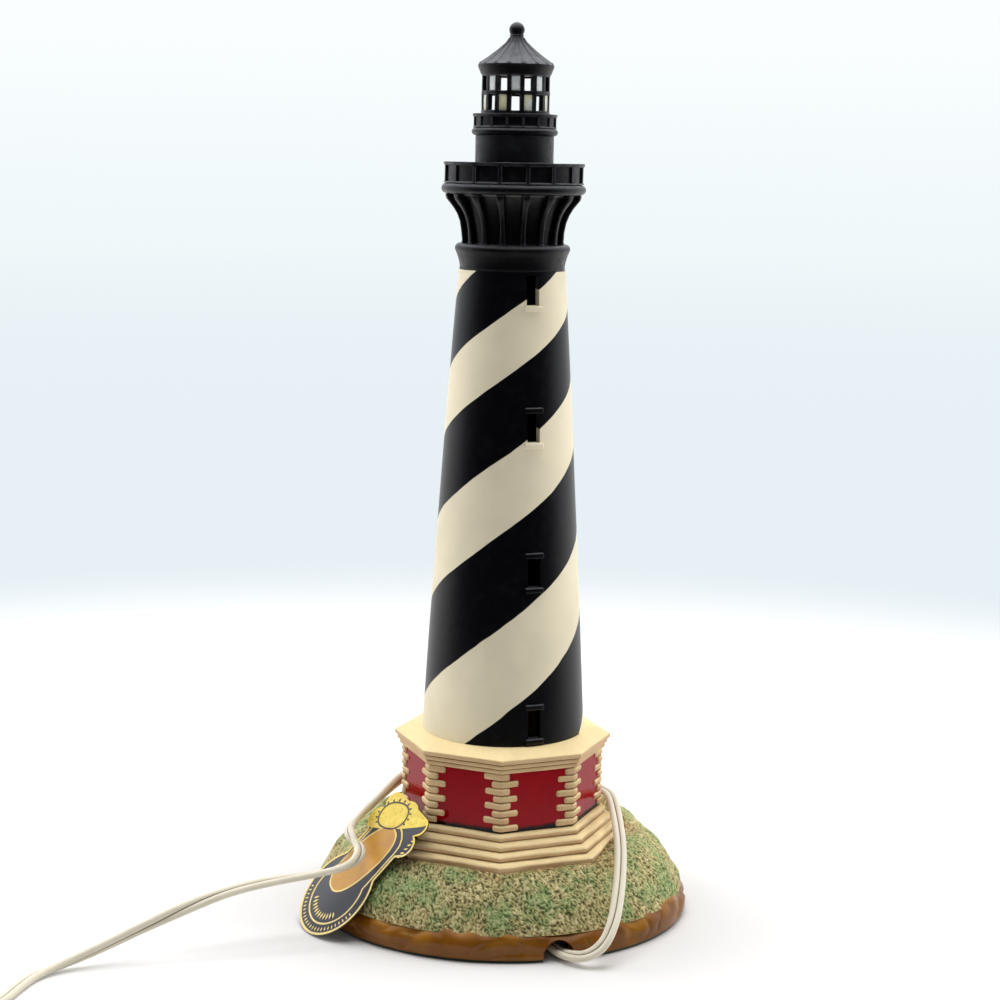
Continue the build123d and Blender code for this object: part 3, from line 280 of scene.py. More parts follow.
class LampColours(bpy.types.PropertyGroup):
    """Colours of the lamp's finishes"""

    cream: colour("Cream", "Pale stripes of the tower", 238, 228, 200)
    black: colour("Black", "Dark stripes and the head of the tower", 4, 4, 9)
    # Dust tone also paints highlights on the black paint's edges and on what faces up
    dust_and_sheen: colour("Dust", "Worn edges and dust on the black paint", 98, 98, 102)
    # Stone and stone side are one paint, painted lighter on what faces up and darker on upright faces as if
    # lit from above
    stone: colour("Stone", "Upper sides of the steps and the cornice", 252, 228, 174)
    stone_shaded_side: colour("Stone side", "Upright faces of the stone", 208, 172, 130)
    # Wash tone also paints the shade in the stone's recesses and grooves
    stone_wash_and_shade: colour("Stone wash", "Brown wash in the recesses of the stone", 118, 80, 44)
    red: colour("Red", "Walls of the house", 154, 1, 18)
    # Dark red paints the shadow at the walls' foot and the shade beside the corner stones, over some dark
    # paint
    red_dark_and_shade: colour("Dark red", "Lower edge of the walls", 18, 5, 7)
    grass_deep: colour("Deep grass", "Recesses of the hill", 70, 62, 34)
    grass: colour("Grass", "Middle tone of the hill", 160, 150, 98)
    grass_dry: colour("Dry grass", "Tips of the hill's curls", 220, 206, 160)
    grass_fresh: colour("Fresh grass", "Green patches on the hill", 108, 146, 86)
    grass_bare: colour("Bare ground", "Brown patches on the hill", 156, 116, 68)
    earth: colour("Earth", "Glazed rim of the base", 126, 76, 10)
    earth_dark: colour("Dark earth", "Recesses of the rim", 84, 48, 16)
    pane: colour("Pane", "Closed panes of the lantern", 244, 250, 250)
    pane_warm: colour("Warm pane", "Yellowed panes of the lantern", 240, 236, 196)
    cord: colour("Cord", "Vinyl of the cord and its fittings", 232, 224, 203)
    card: colour("Card", "Face of the hang tag", 34, 34, 40)
    gold: colour("Gold", "Edges and ornaments of the hang tag", 226, 196, 76)
    gold_pale: colour("Pale gold", "Lower edges of the hang tag", 230, 204, 142)
    amber: colour("Amber", "Bare panel of the hang tag", 198, 146, 44)
    felt: colour("Felt", "Ring under the base", 40, 62, 48)


class StageSettings(bpy.types.PropertyGroup):
    """Light and floor of the scene"""

    floor: colour("Floor", "Pale floor", 224, 223, 222)
    floor_glow: number("Floor glow", "How much whiter the camera sees the floor", 0.18)
    room: number("Room", "Strength of the dim room that glossy paint mirrors", 0.008)
    walls: number("Walls", "Strength of the walls behind that glossy paint mirrors", 1.15)
    ceiling: number("Ceiling", "Strength of the ceiling that glossy paint mirrors", 2.0)
    backdrop: colour("Backdrop", "What the camera sees beyond the floor", 250, 254, 255)
    haze: colour("Haze", "Pale blue that the floor fades to behind the lamp", 231, 240, 245)
    horizon: colour("Horizon", "Tone where the floor meets the backdrop", 240, 248, 250)
    side_power: number("Side lamps", "Power of each side lamp", 11.5, unit="POWER")
    front_power: number("Front lamp", "Power of the front lamp", 0.6, unit="POWER")
    top_power: number("Top lamp", "Power of the lamp above", 20.5, unit="POWER")
    sky: number("Sky", "Strength of the even light from all round", 0.14)


def sizes():
    """The lamp's sizes as set in the scene."""
    return bpy.context.scene.lamp_sizes


def colours():
    """The lamp's colours as set in the scene."""
    return bpy.context.scene.lamp_colours


def foot_of(node):
    """Level of a node's underside in millimetres."""
    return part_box(node)[0].z / MM


def top_of(node):
    """Level of a node's top in millimetres."""
    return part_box(node)[1].z / MM


def hermite(start, end, start_run, end_run, share):
    """Point on a curve between two (radius, level) points with given runs at its ends."""
    s2, s3 = share * share, share**3
    weights = (2 * s3 - 3 * s2 + 1, s3 - 2 * s2 + share, 3 * s2 - 2 * s3, s3 - s2)
    return tuple(weights[0] * a + weights[1] * u + weights[2] * b + weights[3] * v
                 for a, u, b, v in zip(start, start_run, end, end_run))


def curve(start, end, start_run, end_run, steps):
    """Points of such a curve, both ends included."""
    return [hermite(start, end, start_run, end_run, step / steps) for step in range(steps + 1)]


def arc(centre, radius, start, end, steps):
    """Points of an arc in a (radius, level) outline, angles in degrees."""
    angles = [radians(start + (end - start) * step / steps) for step in range(steps + 1)]
    return [(centre[0] + radius * cos(angle), centre[1] + radius * sin(angle)) for angle in angles]


# Modelling

def clear_selection():
    """Leave edit mode and select nothing."""
    if bpy.context.mode != "OBJECT":
        bpy.ops.object.mode_set(mode="OBJECT")
    bpy.ops.object.select_all(action="DESELECT")


def activate(piece):
    """Select one piece alone and make it active."""
    clear_selection()
    piece.select_set(True)
    bpy.context.view_layer.objects.active = piece


def start_chain(points):
    """New mesh in edit mode: one vertex drawn out along points in millimetres."""
    clear_selection()
    bpy.ops.mesh.primitive_plane_add(size=MM)
    bpy.ops.object.mode_set(mode="EDIT")
    bpy.ops.mesh.select_mode(type="VERT")
    bpy.ops.mesh.select_all(action="SELECT")
    bpy.ops.mesh.merge(type="CENTER")
    bpy.ops.transform.translate(value=Vector(points[0]) * MM)
    for before, after in zip(points, points[1:]):
        step = (Vector(after) - Vector(before)) * MM
        bpy.ops.mesh.extrude_region_move(TRANSFORM_OT_translate={"value": step})


def merge_doubles():
    """Merge vertices of the piece in edit mode that lie on each other."""
    bpy.ops.mesh.select_all(action="SELECT")
    bpy.ops.mesh.remove_doubles(threshold=0.008 * MM)


def tidy_mesh():
    """Merge doubles and turn the faces outwards, then leave edit mode."""
    merge_doubles()
    bpy.ops.mesh.normals_make_consistent(inside=False)
    bpy.ops.object.mode_set(mode="OBJECT")
    return bpy.context.active_object


def turned(outline, steps):
    """Spin an outline of (radius, level) points round the tower's axis."""
    start_chain([(radius, 0, level) for radius, level in outline])
    merge_doubles()
    bpy.ops.mesh.select_all(action="SELECT")
    bpy.ops.mesh.spin(steps=steps, angle=tau, center=(0, 0, 0), axis=(0, 0, 1))
    return tidy_mesh()


def drill(radius, low, high, steps):
    """Round cutter on the tower's axis between two levels, in millimetres."""
    return turned([(0, low), (radius, low), (radius, high), (0, high)], steps)


def closed(outline):
    """Outline that ends where it starts."""
    return [*outline, outline[0]]


def slab(points, lift):
    """Flat face through points in millimetres, drawn out by a vector."""
    start_chain(points)
    bpy.ops.mesh.select_all(action="SELECT")
    bpy.ops.mesh.edge_face_add()
    bpy.ops.mesh.extrude_region_move(TRANSFORM_OT_translate={"value": Vector(lift) * MM})
    return tidy_mesh()


def octagon_stack(sections, per_side):
    """Stacked octagons from (corner radius, level) sections, a corner towards the viewer."""
    clear_selection()
    radius, foot = sections[0]
    bpy.ops.mesh.primitive_circle_add(vertices=SIDES * per_side, radius=radius * MM, fill_type="NGON",
                                      location=(0, 0, foot * MM))
    bpy.ops.object.transform_apply(location=True)
    half = pi / SIDES
    for vertex in bpy.context.active_object.data.vertices:
        offset = atan2(vertex.co.y, vertex.co.x) % (2 * half) - half
        share = cos(half) / cos(offset)
        vertex.co.x *= share
        vertex.co.y *= share
    bpy.ops.object.mode_set(mode="EDIT")
    bpy.ops.mesh.select_all(action="SELECT")
    for (before, low), (after, high) in zip(sections, sections[1:]):
        bpy.ops.mesh.extrude_region_move(TRANSFORM_OT_translate={"value": (0, 0, (high - low) * MM)})
        share = after / before
        bpy.ops.transform.resize(value=(share, share, 1), center_override=(0, 0, high * MM))
    return tidy_mesh()


def pick_faces(test):
    """Select the faces of the piece in edit mode whose middle and normal pass a test."""
    bpy.ops.mesh.select_mode(type="FACE")
    bpy.ops.mesh.select_all(action="DESELECT")
    mesh = bpy.context.active_object.data
    shape = bmesh.from_edit_mesh(mesh)
    for face in shape.faces:
        if test(face.calc_center_median() / MM, face.normal):
            face.select_set(True)
    bmesh.update_edit_mesh(mesh)


def finish_with(kind, **settings):
    """Add a modifier to the active piece and apply it."""
    modifier = bpy.context.active_object.modifiers.new(kind.title(), kind)
    for key, value in settings.items():
        setattr(modifier, key, value)
    bpy.ops.object.modifier_apply(modifier=modifier.name)


def soften(width, segments=2, angle=30):
    """Round the sharp edges of the active piece, width in millimetres."""
    finish_with("BEVEL", width=width * MM, segments=segments, limit_method="ANGLE",
                angle_limit=radians(angle))


def cut(piece, cutter):
    """Cut one mesh out of another and delete the cutter."""
    activate(piece)
    finish_with("BOOLEAN", operation="DIFFERENCE", solver="EXACT", object=cutter)
    bpy.data.objects.remove(cutter)


def joined(pieces):
    """Join pieces into the first."""
    clear_selection()
    for piece in pieces:
        piece.select_set(True)
    bpy.context.view_layer.objects.active = pieces[0]
    if len(pieces) > 1:
        bpy.ops.object.join()
    return bpy.context.active_object


def repeated(pattern, places):
    """Copies of a pattern at places given by matrices, joined in one piece."""
    copies = []
    for place in places:
        copy = pattern.copy()
        copy.data = pattern.data.copy()
        copy.data.transform(place)
        bpy.context.collection.objects.link(copy)
        copies.append(copy)
    bpy.data.objects.remove(pattern)
    return joined(copies)


def round_the_axis(count, start=0.0):
    """Turns about the tower's axis, evenly spaced."""
    return [Matrix.Rotation(start + tau * index / count, 4, "Z") for index in range(count)]


def sculpt(piece, move):
    """Move each vertex by what a function of its place and normal gives, in metres."""
    normals = [vertex.normal.copy() for vertex in piece.data.vertices]
    for vertex, normal in zip(piece.data.vertices, normals):
        vertex.co += move(vertex.co, normal)
    piece.data.update()


def mark_grooves(piece, grooves, reach):
    """Store how near each vertex lies to groove lines of (octagon radius, level), in millimetres."""
    values = []
    for vertex in piece.data.vertices:
        spot = octagon_reach(vertex.co) / MM, vertex.co.z / MM
        nearest = min(hypot(spot[0] - radius, spot[1] - level) for radius, level in grooves)
        values.append(max(0.0, 1 - nearest / reach))
    piece.data.attributes.new("groove", "FLOAT", "POINT").data.foreach_set("value", values)


def uneven(amount, pitch, seed):
    """Move along the normal by smooth noise, amount and pitch in millimetres."""
    shift = Vector((seed * 7.31, seed * 3.17, seed * 5.93))

    def move(place, normal):
        return normal * (noise.noise(place / (pitch * MM) + shift) * amount * MM)

    return move


def deliver(piece, name, body, material, nodes=(), smooth=40):
    """Name, dress and mount a finished piece."""
    activate(piece)
    piece.name = name
    piece.data.name = name
    bpy.ops.object.transform_apply(location=True, rotation=True, scale=True)
    piece.data.materials.clear()
    piece.data.materials.append(material)
    bpy.ops.object.shade_smooth_by_angle(angle=radians(smooth))
    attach(piece, body)
    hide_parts(*nodes)
    return piece


def dress(node, material):
    """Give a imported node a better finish."""
    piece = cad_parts[node]
    for slot in piece.material_slots:
        slot.material = material


# Finishes

class NodeTree:
    """Short ways to build a node tree on object coordinates."""

    def __init__(self, tree):
        self.tree = tree
        self.place = tree.nodes.new("ShaderNodeTexCoord").outputs["Object"]

    def feed(self, socket, value):
        """Link a socket or set its value."""
        if isinstance(value, bpy.types.NodeSocket):
            self.tree.links.new(value, socket)
        elif isinstance(value, (tuple, list)) or hasattr(value, "__len__"):
            socket.default_value = (*value[:3], 1.0)
        else:
            socket.default_value = value

    def axes(self, vector):
        """The three parts of a vector."""
        node = self.tree.nodes.new("ShaderNodeSeparateXYZ")
        self.tree.links.new(vector, node.inputs[0])
        return node.outputs

    def maths(self, operation, first, second=0.0, third=0.0):
        """One sum on values or sockets."""
        node = self.tree.nodes.new("ShaderNodeMath")
        node.operation = operation
        for socket, value in zip(node.inputs, (first, second, third)):
            self.feed(socket, value)
        return node.outputs[0]

    def span(self, value, low, high, start=0.0, end=1.0, soft=True):
        """Value brought from one range to another, with soft ends or straight."""
        node = self.tree.nodes.new("ShaderNodeMapRange")
        node.interpolation_type = "SMOOTHSTEP" if soft else "LINEAR"
        for socket, setting in zip(node.inputs, (value, low, high, start, end)):
            self.feed(socket, setting)
        return node.outputs[0]

    def blend(self, share, first, second):
        """Mix two colours."""
        node = self.tree.nodes.new("ShaderNodeMix")
        node.data_type = "RGBA"
        self.feed(node.inputs[0], share)
        self.feed(node.inputs[6], first)
        self.feed(node.inputs[7], second)
        return node.outputs[2]

    def rays(self, *kinds):
        """1 for rays of the named kinds, 0 for all others."""
        path = self.tree.nodes.new("ShaderNodeLightPath")
        found = path.outputs[kinds[0]]
        for kind in kinds[1:]:
            found = self.maths("MAXIMUM", found, path.outputs[kind])
        return found

    def glow(self, kind, tone, strength=1.0):
        """Light from a surface or from the sky, by the kind of its node."""
        node = self.tree.nodes.new(kind)
        self.feed(node.inputs["Color"], tone)
        self.feed(node.inputs["Strength"], strength)
        return node.outputs[0]

    def mixed(self, share, first, second):
        """Mix two surfaces or skies."""
        node = self.tree.nodes.new("ShaderNodeMixShader")
        for socket, value in zip(node.inputs, (share, first, second)):
            self.feed(socket, value)
        return node.outputs[0]


class Finish(NodeTree):
    """Node tree of one surface finish, laid on the piece's own coordinates."""

    def __init__(self, name, **sockets):
        self.material = bpy.data.materials.new(name)
        self.material.use_nodes = True
        super().__init__(self.material.node_tree)
        self.shader = self.tree.nodes["Principled BSDF"]
        for socket, value in sockets.items():
            self.shader.inputs[socket.replace("_", " ")].default_value = value

    def noise(self, pitch, detail=3.0, rough=0.5, bend=0.0, at=None):
        """Smooth noise, pitch in millimetres."""
        node = self.tree.nodes.new("ShaderNodeTexNoise")
        self.tree.links.new(at or self.place, node.inputs["Vector"])
        node.inputs["Scale"].default_value = 1 / (pitch * MM)
        node.inputs["Detail"].default_value = detail
        node.inputs["Roughness"].default_value = rough
        node.inputs["Distortion"].default_value = bend
        return node.outputs[0]

    def stretched(self, x, y, z):
        """The piece's coordinates, stretched along each axis."""
        node = self.tree.nodes.new("ShaderNodeMapping")
        self.tree.links.new(self.place, node.inputs["Vector"])
        node.inputs["Scale"].default_value = (x, y, z)
        return node.outputs["Vector"]

    def distance(self):
        """Distance from the piece's own origin, in metres."""
        node = self.tree.nodes.new("ShaderNodeVectorMath")
        node.operation = "LENGTH"
        self.tree.links.new(self.place, node.inputs[0])
        return node.outputs["Value"]

    def attribute(self, name):
        """Value stored on the mesh."""
        node = self.tree.nodes.new("ShaderNodeAttribute")
        node.attribute_name = name
        return node.outputs["Fac"]

    def facing(self):
        """Direction that the surface faces."""
        return self.tree.nodes.new("ShaderNodeNewGeometry").outputs["Normal"]

    def recess(self, reach, inside=False, local=True):
        """How open the surface is: 0 in a recess, or inside 0 at an edge, reach in millimetres."""
        node = self.tree.nodes.new("ShaderNodeAmbientOcclusion")
        node.samples = 6
        node.inside = inside
        node.only_local = local
        node.inputs["Distance"].default_value = reach * MM
        return node.outputs["AO"]

    def base(self, value):
        """Set the base colour."""
        self.feed(self.shader.inputs["Base Color"], value)

    def roughness(self, value, low, high):
        """Roughness between two bounds from a pattern."""
        self.feed(self.shader.inputs["Roughness"], self.span(value, 0.2, 0.8, low, high))

    def bump(self, height, depth, strength=1.0):
        """Add fine relief, depth in millimetres."""
        node = self.tree.nodes.new("ShaderNodeBump")
        node.inputs["Strength"].default_value = strength
        node.inputs["Distance"].default_value = depth * MM
        self.feed(node.inputs["Height"], height)
        socket = self.shader.inputs["Normal"]
        if socket.is_linked:
            self.tree.links.new(socket.links[0].from_socket, node.inputs["Normal"])
        self.tree.links.new(node.outputs[0], socket)


def finish(name, maker):
    """A finish by name, made the first time that it is asked for."""
    return bpy.data.materials.get(name) or maker(name)


def black_coat(look, tones):
    """Colour of the black paint, with dust and a painted highlight on what faces up."""
    mottle = look.noise(3.0, 4)
    tone = look.blend(look.span(mottle, 0.45, 0.8, 0.0, 0.03), tones.black, tones.dust_and_sheen)
    # What faces up is painted lighter: partly dust, partly a painted highlight from the light above
    up = look.axes(look.facing())[2]
    dust_and_highlight = look.span(up, 0.05, 0.85, 0.0, 0.46)
    dust_and_highlight = look.maths("MULTIPLY", dust_and_highlight, look.span(look.noise(2.2), 0.25, 0.6, 0.5, 1.0))
    return look.blend(dust_and_highlight, tone, tones.dust_and_sheen)


def striped_paint(name):
    """Pale and dark stripes that climb the tower, drawn on a cone at one slope."""
    look, tones, size = Finish(name, Specular_IOR_Level=0.3), colours(), sizes()
    x, y, z = look.axes(look.place)
    foot = foot_of("tower_shell") * MM
    taper = size.stripe_taper
    radius = look.maths("MULTIPLY_ADD", z, -taper, size.stripe_foot + taper * foot)
    climb = look.maths("DIVIDE", look.maths("LOGARITHM", radius, e), -size.stripe_rise)
    turn = look.maths("DIVIDE", look.maths("ARCTAN2", y, x), pi)
    phase = look.maths("SUBTRACT", climb, turn)
    wobble = look.maths("MULTIPLY", look.maths("SUBTRACT", look.noise(16.0, 2), 0.5), 0.022)
    phase = look.maths("ADD", phase, wobble)
    # Radii are in metres here, and the stripe's place is given for millimetres
    shift = log(MM) / size.stripe_rise - size.stripe_middle
    part = look.maths("FRACT", look.maths("ADD", phase, shift))
    off_middle = look.maths("ABSOLUTE", look.maths("SUBTRACT", part, 0.5))
    half = size.stripe_share / 2
    dark = look.span(off_middle, half - 0.0028, half + 0.0028)
    speck = look.span(look.noise(0.55, 2, 0.6), 0.70, 0.76, 0.0, 0.5)
    cloud = look.span(look.noise(22.0, 3), 0.35, 0.7, 0.0, 0.55)
    cream = look.blend(cloud, tones.cream, tuple(0.86 * part for part in tones.cream))
    cream = look.blend(look.maths("MULTIPLY", speck, look.span(look.noise(9.0), 0.48, 0.6)), cream,
                       paint(150, 138, 112))
    look.base(look.blend(dark, cream, black_coat(look, tones)))
    look.feed(look.shader.inputs["Roughness"], look.span(dark, 0, 1, 0.52, 0.36))
    look.bump(look.noise(1.1, 4, 0.6), 0.05, 0.6)
    look.bump(dark, 0.08, 0.7)
    return look.material


def black_paint(name):
    """Satin black paint on moulded porcelain, with worn edges and painted highlights along them."""
    look, tones = Finish(name, Specular_IOR_Level=0.35), colours()
    tone = black_coat(look, tones)
    # Edges are painted lighter: partly wear, partly a painted highlight where light catches them
    worn = look.span(look.recess(0.9, inside=True), 0.38, 0.92, 0.9, 0.0)
    worn = look.maths("MULTIPLY", worn, look.span(look.noise(3.5, 3), 0.3, 0.6, 0.35, 1.0))
    look.base(look.blend(worn, tone, tones.dust_and_sheen))
    look.roughness(look.noise(2.6, 4), 0.32, 0.50)
    look.bump(look.noise(0.9, 4, 0.6), 0.06, 0.6)
    look.bump(look.noise(6.0, 2), 0.25, 0.5)
    return look.material


def stone_paint(name):
    """Tan matt paint, painted lighter on what faces up as if lit from above, with brown wash and painted
    shade in the recesses.
    """
    look, tones = Finish(name, Specular_IOR_Level=0.35), colours()
    cloud = look.noise(11.0, 4)
    # Painted light from above: faces that look up take the pale stone tone, upright faces the darker side
    # tone
    up = look.axes(look.facing())[2]
    tone = look.blend(look.span(up, 0.1, 0.7), tones.stone_shaded_side, tones.stone)
    tone = look.blend(look.span(cloud, 0.3, 0.75, 0.0, 0.5), tone, tuple(0.80 * c for c in tones.stone))
    grain = look.span(look.noise(0.7, 3, 0.65), 0.55, 0.75, 0.0, 0.25)
    tone = look.blend(grain, tone, tones.stone_wash_and_shade)
    # Recesses and marked grooves are darkened towards the wash tone: partly brown wash, partly painted shade
    deep = look.span(look.recess(1.3), 0.32, 0.80, 0.9, 0.0)
    deep = look.maths("MAXIMUM", deep, look.attribute("groove"))
    tone = look.blend(look.maths("MULTIPLY", deep, 0.95), tone, tones.stone_wash_and_shade)
    look.base(tone)
    look.roughness(look.noise(2.0, 3), 0.48, 0.66)
    look.bump(look.noise(0.8, 4, 0.6), 0.10, 0.6)
    look.bump(look.noise(4.0, 2), 0.30, 0.4)
    return look.material


def red_paint(name):
    """Glossy red wall, bare on its inner side, with a dark uneven lower edge that is partly dark paint and
    partly painted shadow, and painted shade beside the corner stones.
    """
    look = Finish(name, Coat_Weight=0.5, Coat_Roughness=0.06, Roughness=0.4, Specular_IOR_Level=0.0)
    tones = colours()
    foot = foot_of("house_wall") * MM
    (x, y, level), (across, along, _) = look.axes(look.place), look.axes(look.facing())
    outward = look.maths("MULTIPLY_ADD", x, across, look.maths("MULTIPLY", y, along))
    # Dark foot of the wall: partly dark paint, partly the painted shadow of the gap above the steps
    edge = look.maths("MULTIPLY_ADD", look.noise(6.0, 3, 0.6), 2.2 * MM, foot + 0.3 * MM)
    low = look.span(look.maths("SUBTRACT", level, edge), -0.5 * MM, 1.5 * MM, 1.0, 0.0)
    # Painted shade beside the corner stones and the other parts near the wall
    low = look.maths("MAXIMUM", low, look.span(look.recess(2.6, local=False), 0.3, 0.85, 0.8, 0.0))
    brush = look.noise(2.6, 4, 0.55, at=look.stretched(1, 1, 0.6))
    tone = look.blend(look.span(brush, 0.3, 0.75, 0.0, 0.4), tones.red, tuple(0.72 * c for c in tones.red))
    tone = look.blend(low, tone, tones.red_dark_and_shade)
    look.base(look.blend(look.span(outward, -10 * MM, 0.0, 1.0, 0.0), tone, tones.cream))
    look.bump(look.noise(5.0, 2), 0.35, 0.35)
    look.bump(brush, 0.03, 0.4)
    return look.material


def grass_paint(name):
    """Curled relief with dry tips, green patches and dark recesses."""
    look, tones = Finish(name, Specular_IOR_Level=0.35, Roughness=0.62), colours()
    relief = look.attribute("relief")
    fine = look.noise(0.45, 3, 0.6)
    height = look.maths("MULTIPLY_ADD", look.maths("SUBTRACT", fine, 0.5), 0.45, relief)
    patch = look.span(look.noise(11.0, 5, 0.65), 0.42, 0.62)
    bare = look.maths("MAXIMUM", look.attribute("bare"), look.span(look.noise(13.0, 4, 0.65), 0.58, 0.72))
    bare = look.maths("MULTIPLY", bare, look.span(look.noise(4.0, 3), 0.35, 0.6, 0.35, 0.9))
    middle = look.blend(look.maths("MULTIPLY", patch, 0.7), tones.grass, tones.grass_fresh)
    middle = look.blend(bare, middle, tones.grass_bare)
    tip = look.blend(look.maths("MULTIPLY", patch, 0.45), tones.grass_dry, tones.grass_fresh)
    tip = look.blend(look.maths("MULTIPLY", bare, 0.5), tip, paint(196, 164, 112))
    deep = look.blend(look.maths("MULTIPLY", patch, 0.75), tones.grass_deep, paint(44, 80, 38))
    tone = look.blend(look.span(height, 0.10, 0.42), deep, middle)
    look.base(look.blend(look.span(height, 0.42, 0.88), tone, tip))
    look.bump(fine, 0.2, 0.8)
    return look.material


def earth_glaze(name):
    """Glossy brown glaze, darker in the rim's dents by painted shade."""
    look = Finish(name, Coat_Weight=0.4, Coat_Roughness=0.12, Roughness=0.45, Specular_IOR_Level=0.12)
    tones = colours()
    cloud = look.noise(24.0, 3, 0.5)
    tone = look.blend(look.span(cloud, 0.35, 0.72, 0.0, 0.45), tones.earth, tones.earth_dark)
    light = look.span(look.noise(16.0, 2), 0.42, 0.7, 0.0, 0.75)
    light = look.maths("MULTIPLY", light, look.span(look.axes(look.place)[2], 4 * MM, 10 * MM, 0.3, 1.0))
    tone = look.blend(light, tone, paint(168, 116, 26))
    # Painted shade in the rim's dents and folds
    deep = look.span(look.recess(4.0), 0.4, 0.95, 0.8, 0.0)
    look.base(look.blend(deep, tone, tones.earth_dark))
    look.bump(look.noise(2.4, 3), 0.18, 0.5)
    return look.material


def pane_glaze(name):
    """Milky panes, greyer above and yellower below."""
    look, tones = Finish(name, Roughness=0.3, Transmission_Weight=0.2, Specular_IOR_Level=0.5), colours()
    level = look.axes(look.place)[2]
    middle = (foot_of("lantern_frame") + 14.2) * MM
    warm = look.span(level, middle + MM, middle - MM)
    warm = look.maths("MULTIPLY", warm, look.span(look.noise(9.0), 0.3, 0.6))
    tone = look.blend(warm, tones.pane, tones.pane_warm)
    look.base(look.blend(look.span(look.noise(1.6, 3), 0.45, 0.75, 0.0, 0.35), tone, paint(206, 216, 212)))
    look.bump(look.noise(1.2, 3), 0.08, 0.6)
    return look.material


def vinyl(name):
    """Slightly grimy ivory vinyl, with painted shade in the groove between the strands."""
    look, tones = Finish(name, Specular_IOR_Level=0.4), colours()
    cloud = look.noise(14.0, 3)
    tone = look.blend(look.span(cloud, 0.35, 0.7, 0.0, 0.5), tones.cord, tuple(0.84 * c for c in tones.cord))
    speck = look.span(look.noise(0.8, 2, 0.6), 0.70, 0.76, 0.0, 0.4)
    tone = look.blend(speck, tone, paint(128, 112, 84))
    # Painted shade along the groove between the two strands
    deep = look.span(look.attribute("groove"), 0.1, 0.9, 0.0, 0.95)
    look.base(look.blend(deep, tone, paint(112, 98, 78)))
    look.roughness(look.noise(5.0, 3), 0.34, 0.5)
    look.bump(look.noise(1.0, 3), 0.03, 0.5)
    return look.material


def felt_cloth(name):
    """Pressed felt."""
    look, tones = Finish(name, Roughness=0.95, Sheen_Weight=0.4), colours()
    fibre = look.noise(0.5, 5, 0.7, 1.5)
    look.base(look.blend(look.span(fibre, 0.3, 0.7), tuple(0.6 * c for c in tones.felt), tones.felt))
    look.bump(fibre, 0.3, 0.8)
    return look.material


def plain_metal(name, tone, rough):
    """Drawn metal with fine lines and tarnish."""
    look = Finish(name, Metallic=1.0)
    lines = look.noise(0.6, 3, 0.6, at=look.stretched(1, 1, 0.1))
    cloud = look.noise(4.0, 4, 0.6)
    look.base(look.blend(look.span(cloud, 0.4, 0.75, 0.0, 0.6), tone, tuple(0.55 * c for c in tone)))
    look.roughness(lines, rough - 0.08, rough + 0.12)
    look.bump(lines, 0.02, 0.4)
    return look.material


def brass(name):
    """Stamped brass."""
    return plain_metal(name, paint(214, 176, 96), 0.30)


def steel(name):
    """Spring steel."""
    return plain_metal(name, paint(176, 176, 180), 0.34)


def dark_plastic(name):
    """Moulded dark plastic."""
    look = Finish(name, Specular_IOR_Level=0.4)
    grain = look.noise(0.8, 4, 0.6)
    look.base(look.blend(look.span(grain, 0.3, 0.7), paint(18, 18, 19), paint(34, 33, 33)))
    look.roughness(grain, 0.38, 0.55)
    look.bump(grain, 0.04, 0.6)
    return look.material


def clear_glass(name):
    """Thin blown glass."""
    look = Finish(name, Transmission_Weight=0.95, IOR=1.45)
    seed = look.noise(7.0, 2)
    look.base(look.blend(look.span(seed, 0.4, 0.7), paint(252, 250, 242), paint(240, 238, 226)))
    look.roughness(look.noise(3.0, 3), 0.02, 0.10)
    look.bump(seed, 0.05, 0.3)
    return look.material


def card_print(name):
    """Dark coated card."""
    look, tones = Finish(name, Coat_Weight=0.35, Coat_Roughness=0.15, Roughness=0.4), colours()
    fibre = look.noise(0.7, 4, 0.65)
    look.base(look.blend(look.span(fibre, 0.3, 0.7), tones.card, tuple(1.6 * c for c in tones.card)))
    look.bump(fibre, 0.02, 0.5)
    return look.material


def gold_foil(name):
    """Stamped gold foil."""
    look, tones = Finish(name, Metallic=0.15), colours()
    cloud = look.noise(3.0, 4, 0.6)
    high = look.span(look.axes(look.place)[2], 36 * MM, 42 * MM)
    tone = look.blend(high, tones.gold_pale, tones.gold)
    look.base(look.blend(look.span(cloud, 0.35, 0.75, 0.0, 0.6), tone, paint(250, 228, 110)))
    look.roughness(look.noise(1.2, 3), 0.24, 0.42)
    look.bump(look.noise(0.9, 3), 0.03, 0.6)
    return look.material


def amber_print(name):
    """Bare amber panel with a paper grain."""
    look, tones = Finish(name, Coat_Weight=0.3, Coat_Roughness=0.2, Roughness=0.42), colours()
    cloud = look.noise(7.0, 4, 0.6)
    tone = look.blend(look.span(cloud, 0.3, 0.75), tones.amber, paint(186, 130, 60))
    look.base(look.blend(look.span(look.noise(0.6, 3), 0.5, 0.75, 0.0, 0.25), tone, paint(120, 84, 40)))
    look.bump(look.noise(0.6, 3), 0.02, 0.5)
    return look.material


# Shapes shared by several pieces

def tower_radius(level):
    """Outer radius of the tower at a level, in millimetres."""
    size = sizes()
    share = (level - foot_of("tower_shell")) / (top_of("tower_shell") - foot_of("tower_shell"))
    straight = size.tower_foot + (size.tower_head - size.tower_foot) * share
    return (straight + 4 * size.tower_bulge * share * (1 - share)) / MM


def window_levels():
    """Levels of the window feet on the tower, in millimetres."""
    return [foot_of("tower_shell") + rise for rise in WINDOW_RISES]


